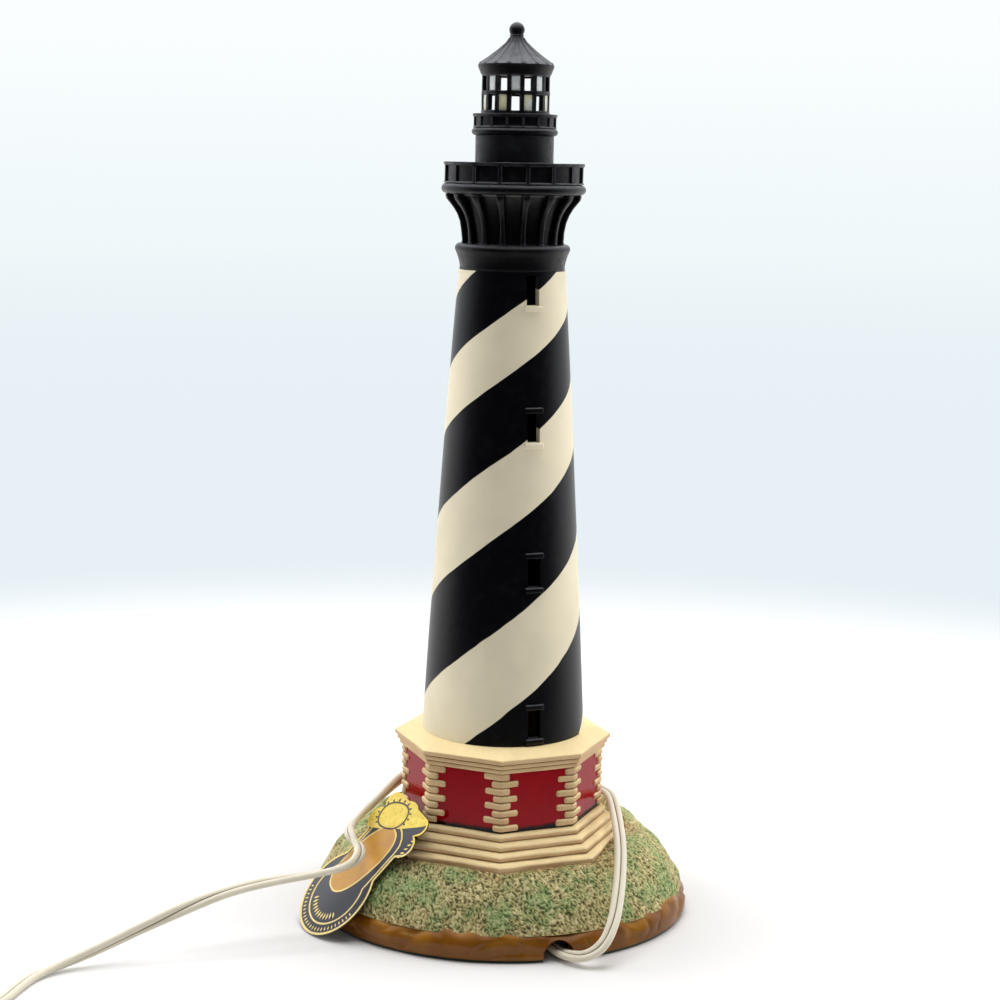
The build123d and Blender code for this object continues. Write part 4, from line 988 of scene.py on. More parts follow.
def block(turn, reach, level, depth, width, height):
    """Upright block that faces outwards, its foot on a level, sizes in millimetres."""
    clear_selection()
    place = (reach * cos(turn) * MM, reach * sin(turn) * MM, (level + height / 2) * MM)
    bpy.ops.mesh.primitive_cube_add(size=1, location=place, rotation=(0, 0, turn),
                                    scale=(depth * MM, width * MM, height * MM))
    bpy.ops.object.transform_apply(location=True, rotation=True, scale=True)
    return bpy.context.active_object


def hill_point(section, angle):
    """Point of an oval section of the hill, in metres."""
    level, side, front, back = section
    reach_front, reach_back = BASE_HALF_DEPTH - front, BASE_HALF_DEPTH - back
    across = BASE_HALF_WIDTH - side
    along = (reach_front + reach_back) / 2
    middle = (reach_back - reach_front) / 2
    return Vector((across * cos(angle), middle + along * sin(angle), level)) * MM


def grass_section(share):
    """Section of the grass between its foot and its crown, smooth through the knots."""
    spot = share * (len(GRASS_KNOTS) - 1)
    index = min(int(spot), len(GRASS_KNOTS) - 2)
    t = spot - index
    picks = [GRASS_KNOTS[min(max(index + step, 0), len(GRASS_KNOTS) - 1)] for step in (-1, 0, 1, 2)]
    return tuple(
        0.5 * (2 * b + (c - a) * t + (2 * a - 5 * b + 4 * c - d) * t * t + (3 * b - a - 3 * c + d) * t**3)
        for a, b, c, d in zip(*picks)
    )


def octagon_reach(place):
    """Corner radius of the octagon round the axis that passes through a place."""
    half = pi / SIDES
    offset = atan2(place.y, place.x) % (2 * half) - half
    return hypot(place.x, place.y) * cos(offset) / cos(half)


def slope_point(level, turn):
    """Point of the grass at a level, in a direction from the tower's axis, in metres."""
    low, high = 0.0, 1.0
    for _ in range(40):
        middle = (low + high) / 2
        low, high = (middle, high) if grass_section(middle)[0] < level else (low, middle)
    _, side, front, back = grass_section(low)
    across = BASE_HALF_WIDTH - side
    along = BASE_HALF_DEPTH - (front + back) / 2
    shift = (front - back) / 2
    a = (cos(turn) / across) ** 2 + (sin(turn) / along) ** 2
    b = -2 * sin(turn) * shift / along**2
    c = (shift / along) ** 2 - 1
    reach = (-b + sqrt(b * b - 4 * a * c)) / (2 * a)
    return Vector((reach * cos(turn), reach * sin(turn), level)) * MM


def mound_places():
    """Places of the hill's mounds, clear of the cord and the tag."""
    places = []
    for index in range(MOUND_COUNT):
        turn = index * MOUND_TURN
        level = MOUND_LEVELS[0] + (MOUND_LEVELS[1] - MOUND_LEVELS[0]) * (index + 0.5) / MOUND_COUNT
        place = slope_point(level, turn)
        near_cord = min((place / MM - Vector(spot)).length for spot in ROUTE) < MOUND_CORD_GAP
        near_tag = abs((turn - TAG_FACING + pi) % tau - pi) < MOUND_TAG_GAP
        if not (near_cord or near_tag):
            places.append(place)
    return places


def mound_lift(place, mounds):
    """How far the mounds lift the grass at a place, in metres."""
    nearest = min((place - mound).length_squared for mound in mounds)
    return max(0.0, MOUND_HEIGHT * MM - nearest / (2 * MOUND_RADIUS * MM))


def oval_ring(sections, steps):
    """Closed ring whose sections are ovals of the hill: spun as a stack, then set to the ovals."""
    rows = len(sections)
    middle, spread = 60.0, 10.0
    turns = [tau * row / rows for row in range(rows)]
    outline = [(middle + spread * cos(turn), spread * sin(turn)) for turn in turns]
    piece = turned(closed(outline), steps)
    for vertex in piece.data.vertices:
        across = hypot(vertex.co.x, vertex.co.y) / MM - middle
        row = round(atan2(vertex.co.z / MM, across) / tau * rows) % rows
        vertex.co = hill_point(sections[row], atan2(vertex.co.y, vertex.co.x))
    activate(piece)
    bpy.ops.object.mode_set(mode="EDIT")
    return tidy_mesh()


def parapet(level, height, radius, wall, cap, proud):
    """Ring with sunk panels between posts and a thin cap, in millimetres."""
    low, high = level + 0.5, level + height - cap - 0.4
    inner = radius - wall
    piece = turned(closed([
        (inner, level), (radius, level), (radius, low), (radius, high), (radius, level + height - cap),
        (radius + proud, level + height - cap), (radius + proud, level + height), (inner, level + height),
    ]), PANELS * 14)
    pitch = tau / PANELS

    def panel(middle, normal):
        offset = (atan2(middle.y, middle.x) + pitch / 2) % pitch - pitch / 2
        outside = hypot(middle.x, middle.y) > radius - wall / 2
        return outside and low < middle.z < high and abs(offset) < pitch * 0.43

    bpy.ops.object.mode_set(mode="EDIT")
    pick_faces(panel)
    bpy.ops.mesh.inset(thickness=0.15 * MM, depth=-0.4 * wall * MM)
    tidy_mesh()
    soften(0.32, 3, 40)
    sculpt(piece, uneven(0.16, 7.0, 3))
    return piece


# Operators

class PieceOperator:
    """Shared settings of the operators that make pieces."""

    bl_options = {"REGISTER", "UNDO"}


class LAMP_OT_stage(PieceOperator, bpy.types.Operator):
    """Set the camera, the floor, the lamps and the sky"""

    bl_idname = "lamp.stage"
    bl_label = "Stage"

    def execute(self, context):
        scene, stage = context.scene, context.scene.lamp_stage
        self.set_camera(scene)
        self.lay_floor(stage)
        for name, place, size, power in LAMPS:
            self.hang_lamp(name, place, size, getattr(stage, power))
        self.light_sky(scene, stage)
        scene.view_settings.view_transform = "Standard"
        return {"FINISHED"}

    def set_camera(self, scene):
        """Camera at the picture's viewing angle."""
        camera = bpy.data.objects.new("camera", bpy.data.cameras.new("camera"))
        scene.collection.objects.link(camera)
        camera.data.lens = CAMERA_LENS
        camera.data.sensor_width = CAMERA_SENSOR
        camera.data.clip_start = 0.01
        pitch, roll, yaw = CAMERA_PITCH, CAMERA_ROLL, CAMERA_YAW
        ahead = Vector((-sin(yaw) * cos(pitch), cos(yaw) * cos(pitch), -sin(pitch)))
        level = Vector((cos(yaw), sin(yaw), 0))
        below = ahead.cross(level)
        right = cos(roll) * level - sin(roll) * below
        down = sin(roll) * level + cos(roll) * below
        turn = Matrix((right, -down, -ahead)).transposed().to_4x4()
        camera.matrix_world = Matrix.Translation(CAMERA_PLACE) @ turn
        scene.camera = camera

    def lay_floor(self, stage):
        """Wide pale floor that fades into the backdrop."""
        clear_selection()
        bpy.ops.mesh.primitive_circle_add(vertices=96, radius=FLOOR_RADIUS, fill_type="NGON")
        floor = bpy.context.active_object
        floor.name = "floor"
        look = Finish("floor_paper", Roughness=0.75, Specular_IOR_Level=0.2)
        look.base(stage.floor)
        paper, distance = look.shader.outputs[0], look.distance()
        seen = look.rays("Is Camera Ray", "Is Transmission Ray")

        # The camera sees the paper a little whiter away from the base, and haze far behind it; leaving that
        # glow off near the base paints a soft shadow round it
        lit = look.tree.nodes.new("ShaderNodeAddShader")
        look.feed(lit.inputs[0], paper)
        lift = look.span(distance, 0.075, 0.16, 0.0, stage.floor_glow, soft=False)
        look.feed(lit.inputs[1], look.glow("ShaderNodeEmission", WHITE, lift))
        near = look.mixed(seen, paper, lit.outputs[0])
        haze = look.blend(look.span(distance, 1.0, 8.0), stage.haze, stage.horizon)
        far = look.maths("MULTIPLY", look.span(distance, 0.45, 0.8), seen)
        view = look.mixed(far, near, look.glow("ShaderNodeEmission", haze))

        # Glossy paint mirrors a dim floor in front and a bright one behind
        mirror = look.span(look.axes(look.place)[1], -0.3, 0.3, stage.room, stage.walls)
        reach = look.span(distance, 0.11, 0.30, soft=False)
        mirrored = look.maths("MULTIPLY", reach, look.rays("Is Glossy Ray"))
        whole = look.mixed(mirrored, view, look.glow("ShaderNodeEmission", WHITE, mirror))
        look.feed(look.tree.nodes["Material Output"].inputs["Surface"], whole)
        floor.data.materials.append(look.material)

    def hang_lamp(self, name, place, size, power):
        """Large soft lamp aimed at the tower's middle."""
        lamp = bpy.data.objects.new(name, bpy.data.lights.new(name, "AREA"))
        bpy.context.scene.collection.objects.link(lamp)
        lamp.data.shape = "SQUARE"
        lamp.data.size = size
        lamp.data.energy = power
        lamp.visible_camera = False
        lamp.visible_glossy = False
        lamp.location = place
        aim = Vector(LAMP_AIM) - Vector(place)
        lamp.rotation_mode = "QUATERNION"
        lamp.rotation_quaternion = aim.to_track_quat("-Z", "Y")

    def light_sky(self, scene, stage):
        """Even light from all round, and the backdrop that the camera sees."""
        world = scene.world or bpy.data.worlds.new("sky")
        scene.world = world
        world.use_nodes = True
        world.node_tree.nodes.clear()
        sky = NodeTree(world.node_tree)
        _, behind, up = sky.axes(sky.place)
        air = sky.blend(sky.span(up, -0.03, 0.06, soft=False), stage.horizon, stage.backdrop)
        seen = sky.rays("Is Camera Ray", "Is Transmission Ray")
        even = sky.glow("ShaderNodeBackground", WHITE, stage.sky)
        view = sky.mixed(seen, even, sky.glow("ShaderNodeBackground", air))

        # Glossy paint mirrors a dim room with bright walls behind and a bright ceiling
        walls = sky.maths("ADD", sky.span(behind, -0.5, 0.55, 0.0, stage.walls), stage.room)
        strength = sky.maths("ADD", walls, sky.span(up, 0.4, 1.0, 0.0, stage.ceiling))
        room = sky.glow("ShaderNodeBackground", ROOM_TONE, strength)
        whole = sky.mixed(sky.rays("Is Glossy Ray"), view, room)
        sky.feed(sky.tree.nodes.new("ShaderNodeOutputWorld").inputs[0], whole)


class LAMP_OT_cord(PieceOperator, bpy.types.Operator):
    """Lay the flat twin cord from the notch to its plug, with its coil"""

    bl_idname = "lamp.cord"
    bl_label = "Cord"

    def execute(self, context):
        path = self.route_line()
        piece = self.sweep(path)
        ivory = finish("ivory_cord_vinyl", vinyl)
        deliver(piece, "twin_cord", "base", ivory,
                ("cord", "switch_lead", "plug_lead", "cord_coil"), smooth=70)
        for node in ("plug_body", "switch_base", "switch_cover", "switch_wheel", "inner_lead"):
            dress(node, ivory)
        dress("plug_blades", finish("stamped_brass", brass))
        dress("switch_screw", finish("bright_steel", steel))
        dress("coil_tie", finish("dark_moulded_plastic", dark_plastic))
        return {"FINISHED"}

    def coil_points(self):
        """Turns of the coil, clockwise from its left side."""
        points = []
        turns = len(COIL_TURNS) - 1
        count = turns * COIL_POINTS + COIL_POINTS // 4
        for index in range(count + 1):
            turn = min(index / COIL_POINTS, turns + 0.25)
            here = COIL_TURNS[min(int(turn), turns)]
            after = COIL_TURNS[min(int(turn) + 1, turns)]
            share = turn - int(turn)
            rise = min(max((share - 0.62) / 0.2, 0), 1)
            move = min(max((share - 0.76) / 0.24, 0), 1)
            radius = here[0] + (after[0] - here[0]) * move
            level = here[1] + (after[1] - here[1]) * rise
            angle = pi - tau * turn
            points.append((COIL_CENTRE[0] + radius * cos(angle), COIL_CENTRE[1] + radius * sin(angle), level))
        return points

    def route_line(self):
        """Smooth line of the cord, read from one spline through all its points."""
        points = ROUTE + THROUGH_SWITCH + SWITCH_LEAD + self.coil_points() + PLUG_LEAD
        line = bpy.data.curves.new("cord_line", "CURVE")
        line.dimensions = "3D"
        spline = line.splines.new("NURBS")
        spline.points.add(len(points) - 1)
        for point, place in zip(spline.points, points):
            point.co = (*(value * MM for value in place), 1)
        spline.order_u = 3
        spline.use_endpoint_u = True
        spline.resolution_u = 6
        holder = bpy.data.objects.new("cord_line", line)
        bpy.context.scene.collection.objects.link(holder)
        bpy.context.view_layer.update()
        mesh = bpy.data.meshes.new_from_object(holder)
        path = [vertex.co.copy() for vertex in mesh.vertices]
        self.control_count = len(points)
        bpy.data.objects.remove(holder)
        bpy.data.curves.remove(line)
        bpy.data.meshes.remove(mesh)
        return path

    def width_at(self, spot):
        """Width direction of the cord at a place along its control points."""
        keys = CORD_WIDTH_KEYS
        if spot <= keys[0][0]:
            return Vector(keys[0][1])
        for (low, first), (high, second) in zip(keys, keys[1:]):
            if spot <= high:
                share = (spot - low) / (high - low)
                a, b = Vector(first).normalized(), Vector(second).normalized()
                if a.dot(b) < 0:
                    b = -b
                return a.lerp(b, share * share * (3 - 2 * share))
        return None

    def sweep(self, path):
        """Mesh of the flat twin section along the line."""
        size = sizes()
        half, core = size.cord_width / 2, size.cord_thick / 2
        middle = half - core
        wrap, strand = radians(144), 12
        section = []
        for start in (0, pi):
            for index in range(strand + 1):
                angle = start - wrap + 2 * wrap * index / strand
                section.append((middle * cos(start) + core * cos(angle), core * sin(angle)))
        points, faces = [], []
        previous = None
        for index, place in enumerate(path):
            ahead = (path[min(index + 1, len(path) - 1)] - path[max(index - 1, 0)]).normalized()
            width = self.width_at(index / (len(path) - 1) * (self.control_count - 1))
            if width is None:
                width = ahead.cross(Vector((0, 0, 1)))
            if previous is not None and width.dot(previous) < 0:
                width = -width
            if previous is not None:
                width = previous.lerp(width.normalized(), 0.35)
            width = (width - ahead * width.dot(ahead)).normalized()
            previous = width
            face = ahead.cross(width)
            points.extend(place + width * a + face * b for a, b in section)
        count = len(section)
        for ring in range(len(path) - 1):
            for index in range(count):
                after = (index + 1) % count
                faces.append((ring * count + index, ring * count + after,
                              (ring + 1) * count + after, (ring + 1) * count + index))
        faces.append(tuple(range(count)))
        faces.append(tuple(reversed(range((len(path) - 1) * count, len(path) * count))))
        mesh = bpy.data.meshes.new("twin_cord")
        mesh.from_pydata([(x, y, max(z, 0.0)) for x, y, z in points], [], faces)
        # The waist between the strands is marked for the painted shade of the groove
        grooves = [float(index % (strand + 1) in (0, strand)) for index in range(count)] * len(path)
        mesh.attributes.new("groove", "FLOAT", "POINT").data.foreach_set("value", grooves)
        piece = bpy.data.objects.new("twin_cord", mesh)
        bpy.context.scene.collection.objects.link(piece)
        activate(piece)
        bpy.ops.object.mode_set(mode="EDIT")
        return tidy_mesh()


class LAMP_OT_hill(PieceOperator, bpy.types.Operator):
    """Model the curled grass of the hill"""

    bl_idname = "lamp.hill"
    bl_label = "Grass hill"
    # Grass under the steps, where it starts to sink beside them, how far it sinks, and over what width
    pocket = 28.5
    joint = 31.8
    hollow = 3.2
    hollow_width = 12.0
    rows = 66

    def execute(self, context):
        size = sizes()
        sections = [grass_section(row / self.rows) for row in range(self.rows + 1)]
        piece = oval_ring(sections + list(GRASS_UNDERSIDE), size.hill_steps)
        pitch, height = size.relief_pitch, size.relief_height
        foot = GRASS_KNOTS[0][0] * MM
        mounds = mound_places()
        normals = [vertex.normal.copy() for vertex in piece.data.vertices]
        curls, bares = [], []
        for vertex, normal in zip(piece.data.vertices, normals):
            place = vertex.co.copy()
            beyond = octagon_reach(place) / MM - STEP_RADII[0]
            low = 0.7 - (place.z - foot) / (4.0 * MM)
            bares.append(max(0.0, 1 - max(beyond, 0.0) / 7, low))
            outside = normal.z > 0.05 and place.z > foot - 0.5 * MM
            if outside and beyond > 0.1:
                bend = noise.noise_vector(place / (3.2 * pitch)) * 0.55 * pitch
                curl = 1 - min(1.0, abs(noise.noise((place + bend) / pitch)) * 2.7)
                blob = 0.5 + 0.5 * noise.noise(place / (0.62 * pitch) + Vector((5, 9, 2)))
                value = min(1.0, max(0.0, 0.72 * curl + 0.34 * blob - 0.05))
                fade = min(1.0, (place.z - foot) / (2.0 * MM) + 0.25)
                swell = noise.noise(place / (17 * MM)) * 0.35 * MM + noise.noise(place / (7 * MM)) * 0.3 * MM
                swell = swell * fade + mound_lift(place, mounds)
                edge = min(1.0, (place.z - foot) / (1.5 * MM))
                hollow = min(self.hollow, max(0.0, place.z / MM - self.joint))
                hollow *= max(0.0, 1 - beyond / self.hollow_width) ** 2
                vertex.co = place + normal * ((value - 0.6) * height * edge + swell)
                vertex.co.z -= hollow * MM
                curls.append(value)
            else:
                if outside:
                    vertex.co.z = min(place.z, self.pocket * MM)
                curls.append(0.3)
        for name, values in (("relief", curls), ("bare", bares)):
            piece.data.attributes.new(name, "FLOAT", "POINT").data.foreach_set("value", values)
        piece.data.update()
        grass = finish("hill_grass", grass_paint)
        deliver(piece, "grass_hill", "base", grass, ("hill_base",), smooth=80)
        dress("base_felt", finish("base_felt_cloth", felt_cloth))
        return {"FINISHED"}


class LAMP_OT_rim(PieceOperator, bpy.types.Operator):
    """Model the glazed earth rim with its notch for the cord"""

    bl_idname = "lamp.rim"
    bl_label = "Earth rim"

    def execute(self, context):
        sections = [(level, inset, inset, inset) for level, inset in RIM_SECTIONS]
        piece = oval_ring(sections, 360)
        activate(piece)
        finish_with("SUBSURF", levels=1, render_levels=1)
        sculpt(piece, self.dent)
        cut(piece, self.notch())
        glaze = finish("earth_rim_glaze", earth_glaze)
        deliver(piece, "earth_rim", "base", glaze, ("hill_base",), smooth=45)
        return {"FINISHED"}

    def dent(self, place, normal):
        """Dents and folds on the rim's outer face, and a wavy top edge."""
        outside = (place.x / (BASE_HALF_WIDTH * MM)) ** 2 + (place.y / (BASE_HALF_DEPTH * MM)) ** 2
        if outside < 0.88 or place.z < 1.2 * MM:
            return Vector((0, 0, 0))
        around = Vector((place.x, place.y, place.z * 1.4))
        bend = noise.noise_vector(around / (24 * MM)) * 8 * MM
        fold = abs(noise.noise((around + bend) / (22 * MM)))
        crease = abs(noise.noise((around - bend) / (13 * MM) + Vector((2, 6, 1))))
        rise = min(1.0, (place.z / MM - 1.2) / 3)
        inward = -(0.2 + 2.6 * max(0.0, 0.42 - 1.5 * fold) + 1.6 * max(0.0, 0.3 - 1.6 * crease)) * rise * MM
        wave = noise.noise(Vector((place.x, place.y, 0)) / (19 * MM) + Vector((3, 1, 4)))
        wave += 0.5 * noise.noise(Vector((place.x, place.y, 0)) / (7 * MM) + Vector((8, 2, 4)))
        lift = 1.8 * wave * min(1.0, max(0.0, (place.z / MM - 6) / 4)) * MM
        side = Vector((normal.x, normal.y, 0))
        return side * inward + Vector((0, 0, lift))

    def notch(self):
        """Arched cutter through the rim, standing on the table."""
        half = NOTCH_WIDTH / 2
        spring = NOTCH_HEIGHT - half
        outline = [(-half - 0.6, -1.0), (-half, 1.5), *arc((0, spring), half, 180, 0, 14)]
        outline += [(half, 1.5), (half + 0.6, -1.0)]
        side = Vector((-sin(NOTCH_TURN), cos(NOTCH_TURN), 0))
        out = Vector((cos(NOTCH_TURN), sin(NOTCH_TURN), 0))
        points = [side * x + out * 40 + Vector((0, 0, y)) for x, y in outline]
        return slab(points, out * 60)


class LAMP_OT_steps(PieceOperator, bpy.types.Operator):
    """Model the worn octagonal steps"""

    bl_idname = "lamp.steps"
    bl_label = "Steps"
    # Radius outside which the stone is worn, the hole through the steps, and the ring on top
    worn_from = 38.0
    hole_radius = 13.0
    ring_radii = (31.9, 35.4)

    def execute(self, context):
        foot = foot_of("step_plinth")
        levels = [foot, *(foot + rise for rise in STEP_RISES)]
        radii = STEP_RADII
        sections = [(radii[0] - 0.2, foot)]
        for index, radius in enumerate(radii):
            top = levels[index + 1]
            if index:
                sections += [(radius - 0.4, levels[index] + 0.4), (radius, levels[index] + 0.85)]
            sections += [(radius + 0.12, top - 1.5), (radius + 0.05, top - 1.15), (radius - 0.75, top - 0.3),
                         (radius - 1.3, top - 0.05)]
            if index + 1 < len(radii):
                sections.append((radii[index + 1] + 0.2, top + 0.12))
        piece = octagon_stack(sections, 30)
        soften(0.12, 2, 40)
        wave = sizes().step_wave
        # Grooves where each riser meets the tread below, darkened with wash and painted shade
        grooves = [(radius - 0.4, level + 0.4) for radius, level in zip(radii[1:], levels[1:])]
        mark_grooves(piece, grooves, 0.7)

        def worn(place, normal):
            along = noise.noise(Vector((place.x, place.y, place.z * 2.2)) / (9 * MM))
            broad = noise.noise(Vector((place.x, place.y, place.z * 2.2)) / (24 * MM) + Vector((4, 2, 8)))
            chip = max(0.0, noise.noise(place / (3.5 * MM) + Vector((1, 7, 3))) - 0.25)
            flat = Vector((normal.x, normal.y, 0.55 * normal.z))
            inner = hypot(place.x, place.y) < self.worn_from * MM
            wear = 0.8 * along + 0.75 * broad - 0.3 - 0.8 * chip
            return Vector((0, 0, 0)) if inner else flat * wave * wear

        sculpt(piece, worn)
        cut(piece, drill(self.hole_radius, foot - 1, levels[-1] + 1, 64))
        low, high = levels[-1] - 0.5, top_of("step_plinth")
        inner, outer = self.ring_radii
        ring = turned(closed([(inner, low), (outer, low), (outer, high), (inner, high)]), 96)
        soften(0.6, 2, 40)
        piece = joined([piece, ring])
        stone = finish("stone_paint", stone_paint)
        deliver(piece, "worn_steps", "base", stone, ("step_plinth",))
        return {"FINISHED"}


class LAMP_OT_house(PieceOperator, bpy.types.Operator):
    """Paint the red walls and model their corner stones"""

    bl_idname = "lamp.house"
    bl_label = "House"
    # Corner stones: courses, legs along the walls, the walls' corner, depth behind it, gap at the foot
    courses = 8
    long_leg, short_leg = 8.0, 4.3
    corner_radius = 43.2
    seat = 1.6
    foot_gap = 0.7

    def execute(self, context):
        dress("house_wall", finish("red_wall_paint", red_paint))
        foot, top = foot_of("house_wall"), top_of("house_wall")
        low = foot + self.foot_gap
        pitch = (top - low) / self.courses
        draw = random.Random(41)
        stones = []
        for corner in range(SIDES):
            for course in range(self.courses):
                long_left = (corner + course) % 2 == 0
                legs = (self.long_leg, self.short_leg) if long_left else (self.short_leg, self.long_leg)
                left, right = (leg + draw.uniform(-0.45, 0.45) for leg in legs)
                height = pitch - 0.3 + draw.uniform(-0.12, 0.08)
                stone = self.stone(left, right, height, 0.85 + draw.uniform(-0.15, 0.2))
                level = low + course * pitch + draw.uniform(-0.08, 0.08)
                stone.data.transform(self.corner_place(corner, level))
                stones.append(stone)
        for corner in range(SIDES):
            backing = self.stone(4.0, 4.0, top - low, 0.25)
            joint = backing.data.attributes.new("groove", "FLOAT", "POINT")
            joint.data.foreach_set("value", [0.85] * len(backing.data.vertices))
            backing.data.transform(self.corner_place(corner, low))
            stones.append(backing)
        piece = joined(stones)
        sculpt(piece, uneven(0.22, 3.0, 5))
        glaze = finish("stone_paint", stone_paint)
        deliver(piece, "corner_stones", "tower", glaze, ("quoin_stones",), smooth=60)
        return {"FINISHED"}

    def corner_place(self, corner, level):
        """Turn to one corner of the house and lift to a level in millimetres."""
        return Matrix.Translation((0, 0, level * MM)) @ Matrix.Rotation(tau * corner / SIDES, 4, "Z")

    def stone(self, left, right, height, proud):
        """One corner stone on the octagon's corner that lies on +X, with rounded ends."""
        corner, half = self.corner_radius, pi / SIDES
        outer, inner = Vector((corner + proud, 0, 0)), Vector((corner - self.seat, 0, 0))
        left_run, right_run = Vector((-sin(half), cos(half), 0)), Vector((-sin(half), -cos(half), 0))
        left_in, right_in = Vector((-cos(half), -sin(half), 0)), Vector((-cos(half), sin(half), 0))
        depth = (proud + self.seat) * cos(half)
        points = [
            outer,
            outer + left_run * left,
            outer + left_run * left + left_in * depth,
            inner,
            outer + right_run * right + right_in * depth,
            outer + right_run * right,
        ]
        piece = slab(points, (0, 0, height))
        soften(1.05, 3, 30)
        return piece


class LAMP_OT_cornice(PieceOperator, bpy.types.Operator):
    """Model the layered cornice of the house"""

    bl_idname = "lamp.cornice"
    bl_label = "Cornice"
    bore_radius = 31.2

    def execute(self, context):
        foot, top = foot_of("house_cornice"), top_of("house_cornice")
        edge = foot + 6.6
        sections = []
        for layer, radius in enumerate((45.0, 46.1, 47.2)):
            low = foot + 2.2 * layer
            sections += [(radius - 1.1, low), (radius - 0.4, low + 0.1), (radius - 0.05, low + 0.5),
                         (radius, low + 1.2), (radius - 0.1, low + 1.8)]
            if layer < 2:
                sections.append((radius - 0.9, low + 2.15))
        sections += [(47.1, edge - 0.2), (46.85, edge + 0.02), (46.3, edge + 0.15), (39.83, top)]
        piece = octagon_stack(sections, 30)
        soften(0.2, 2, 40)
        # Grooves between the layers, darkened with wash and painted shade
        mark_grooves(piece, [(44.2, foot + 2.2), (45.3, foot + 4.4), (43.9, foot)], 0.6)

        def worn(place, normal):
            along = noise.noise(Vector((place.x, place.y, place.z * 3)) / (10 * MM) + Vector((7, 3, 1)))
            broad = noise.noise(Vector((place.x, place.y, place.z)) / (26 * MM))
            flat = Vector((normal.x, normal.y, 0.4 * normal.z))
            return flat * (0.22 * along + 0.25 * broad - 0.15) * MM

        sculpt(piece, worn)
        cut(piece, drill(self.bore_radius, foot - 1, top + 1, 96))
        stone = finish("stone_paint", stone_paint)
        deliver(piece, "layered_cornice", "tower", stone, ("house_cornice",))
        return {"FINISHED"}


class LAMP_OT_tower(PieceOperator, bpy.types.Operator):
    """Model the tapered tower with its window openings"""

    bl_idname = "lamp.tower"
    bl_label = "Tower"

    def execute(self, context):
        size = sizes()
        foot, top = foot_of("tower_shell"), top_of("tower_shell")
        rows = 54
        levels = [foot + (top - foot) * row / rows for row in range(rows + 1)]
        wall = size.tower_wall / MM
        outer = [(tower_radius(level), level) for level in levels]
        inner = [(tower_radius(level) - wall, level) for level in reversed(levels)]
        piece = turned(closed(outer + inner), 160)
        width, height = size.window_width / MM, size.window_height / MM
        cutters = [block(turn, tower_radius(level), level, 14, width, height)
                   for turn in WINDOW_TURNS for level in window_levels()]
        cut(piece, joined(cutters))
        sculpt(piece, uneven(0.10, 22.0, 2))
        stripes = finish("tower_stripes", striped_paint)
        deliver(piece, "striped_tower", "tower", stripes, ("tower_shell",), smooth=35)
        return {"FINISHED"}


class LAMP_OT_window_trim(PieceOperator, bpy.types.Operator):
    """Model the sills and lintels of the windows"""

    bl_idname = "lamp.window_trim"
    bl_label = "Window trim"

    def execute(self, context):
        height = sizes().window_height / MM
        blocks = []
        for turn in WINDOW_TURNS:
            for index, level in enumerate(window_levels()):
                # Sills under the windows, and lintels over all but the highest ones
                top_window = index == len(WINDOW_RISES) - 1
                feet = [level - TRIM_HEIGHT] + ([] if top_window else [level + height])
                for foot in feet:
                    reach = tower_radius(foot + TRIM_HEIGHT / 2) - 0.35
                    blocks.append(block(turn, reach, foot, TRIM_DEPTH, TRIM_WIDTH, TRIM_HEIGHT))
        piece = joined(blocks)
        soften(0.6, 3, 30)
        sculpt(piece, uneven(0.15, 3.0, 8))
        stripes = finish("tower_stripes", striped_paint)
        deliver(piece, "sills_and_lintels", "tower", stripes, ("window_trim",), smooth=60)
        return {"FINISHED"}


class LAMP_OT_gallery(PieceOperator, bpy.types.Operator):
    """Model the collar, bell, deck, parapet and drum of the gallery"""

    bl_idname = "lamp.gallery"
    bl_label = "Gallery"

    def execute(self, context):
        foot, top = foot_of("gallery_collar"), top_of("gallery_collar")
        lip = top - 4.2
        collar = turned(closed(
            [(18.6, foot), (21.9, foot), (22.2, foot + 0.3), (22.2, foot + 0.8)]
            + curve((22.1, foot + 1.2), (23.7, lip + 0.4), (0.2, 5.0), (1.4, 2.2), 8)
            + arc((22.3, top - 2.0), 2.0, -35, 85, 10)
            + [(18.6, top)]), 128)
        self.deliver_black(collar, "gallery_collar_moulding", "gallery_collar")

        bell_foot, bell_top = foot_of("gallery_bell"), top_of("gallery_bell")
        flare = curve((19.4, bell_foot), (26.0, bell_top), (0, 18.0), (13.0, 12.0), 20)
        bell = turned(closed(flare + [(radius - 4.5, level) for radius, level in reversed(flare)]), 128)
        self.deliver_black(bell, "gallery_flare", "gallery_bell")

        deck_foot, deck_top = foot_of("gallery_deck"), top_of("gallery_deck")
        deck = turned(closed(
            [(13.4, deck_foot), (27.6, deck_foot), (28.2, deck_foot + 0.35)]
            + arc((28.2, deck_foot + 2.25), 2.1, -80, 80, 12)
            + [(28.0, deck_top), (13.4, deck_top)]), 128)
        self.deliver_black(deck, "gallery_floor", "gallery_deck")

        rail = parapet(deck_top, top_of("gallery_rail") - deck_top, 29.3, 2.4, 1.0, 0.2)
        self.deliver_black(rail, "gallery_parapet", "gallery_rail")

        drum_foot, drum_top = foot_of("watch_drum"), top_of("watch_drum")
        drum = turned(closed([
            (13.4, drum_foot), (16.4, drum_foot), (16.4, drum_top - 0.5), (16.2, drum_top), (13.4, drum_top),
        ]), 96)
        self.deliver_black(drum, "watch_room_wall", "watch_drum")
        return {"FINISHED"}

    def deliver_black(self, piece, name, node):
        """Make a turned piece slightly uneven and paint it."""
        activate(piece)
        if node != "gallery_rail":
            sculpt(piece, uneven(0.14, 8.0, 6))
        deliver(piece, name, "tower", finish("black_paint", black_paint), (node,), smooth=35)


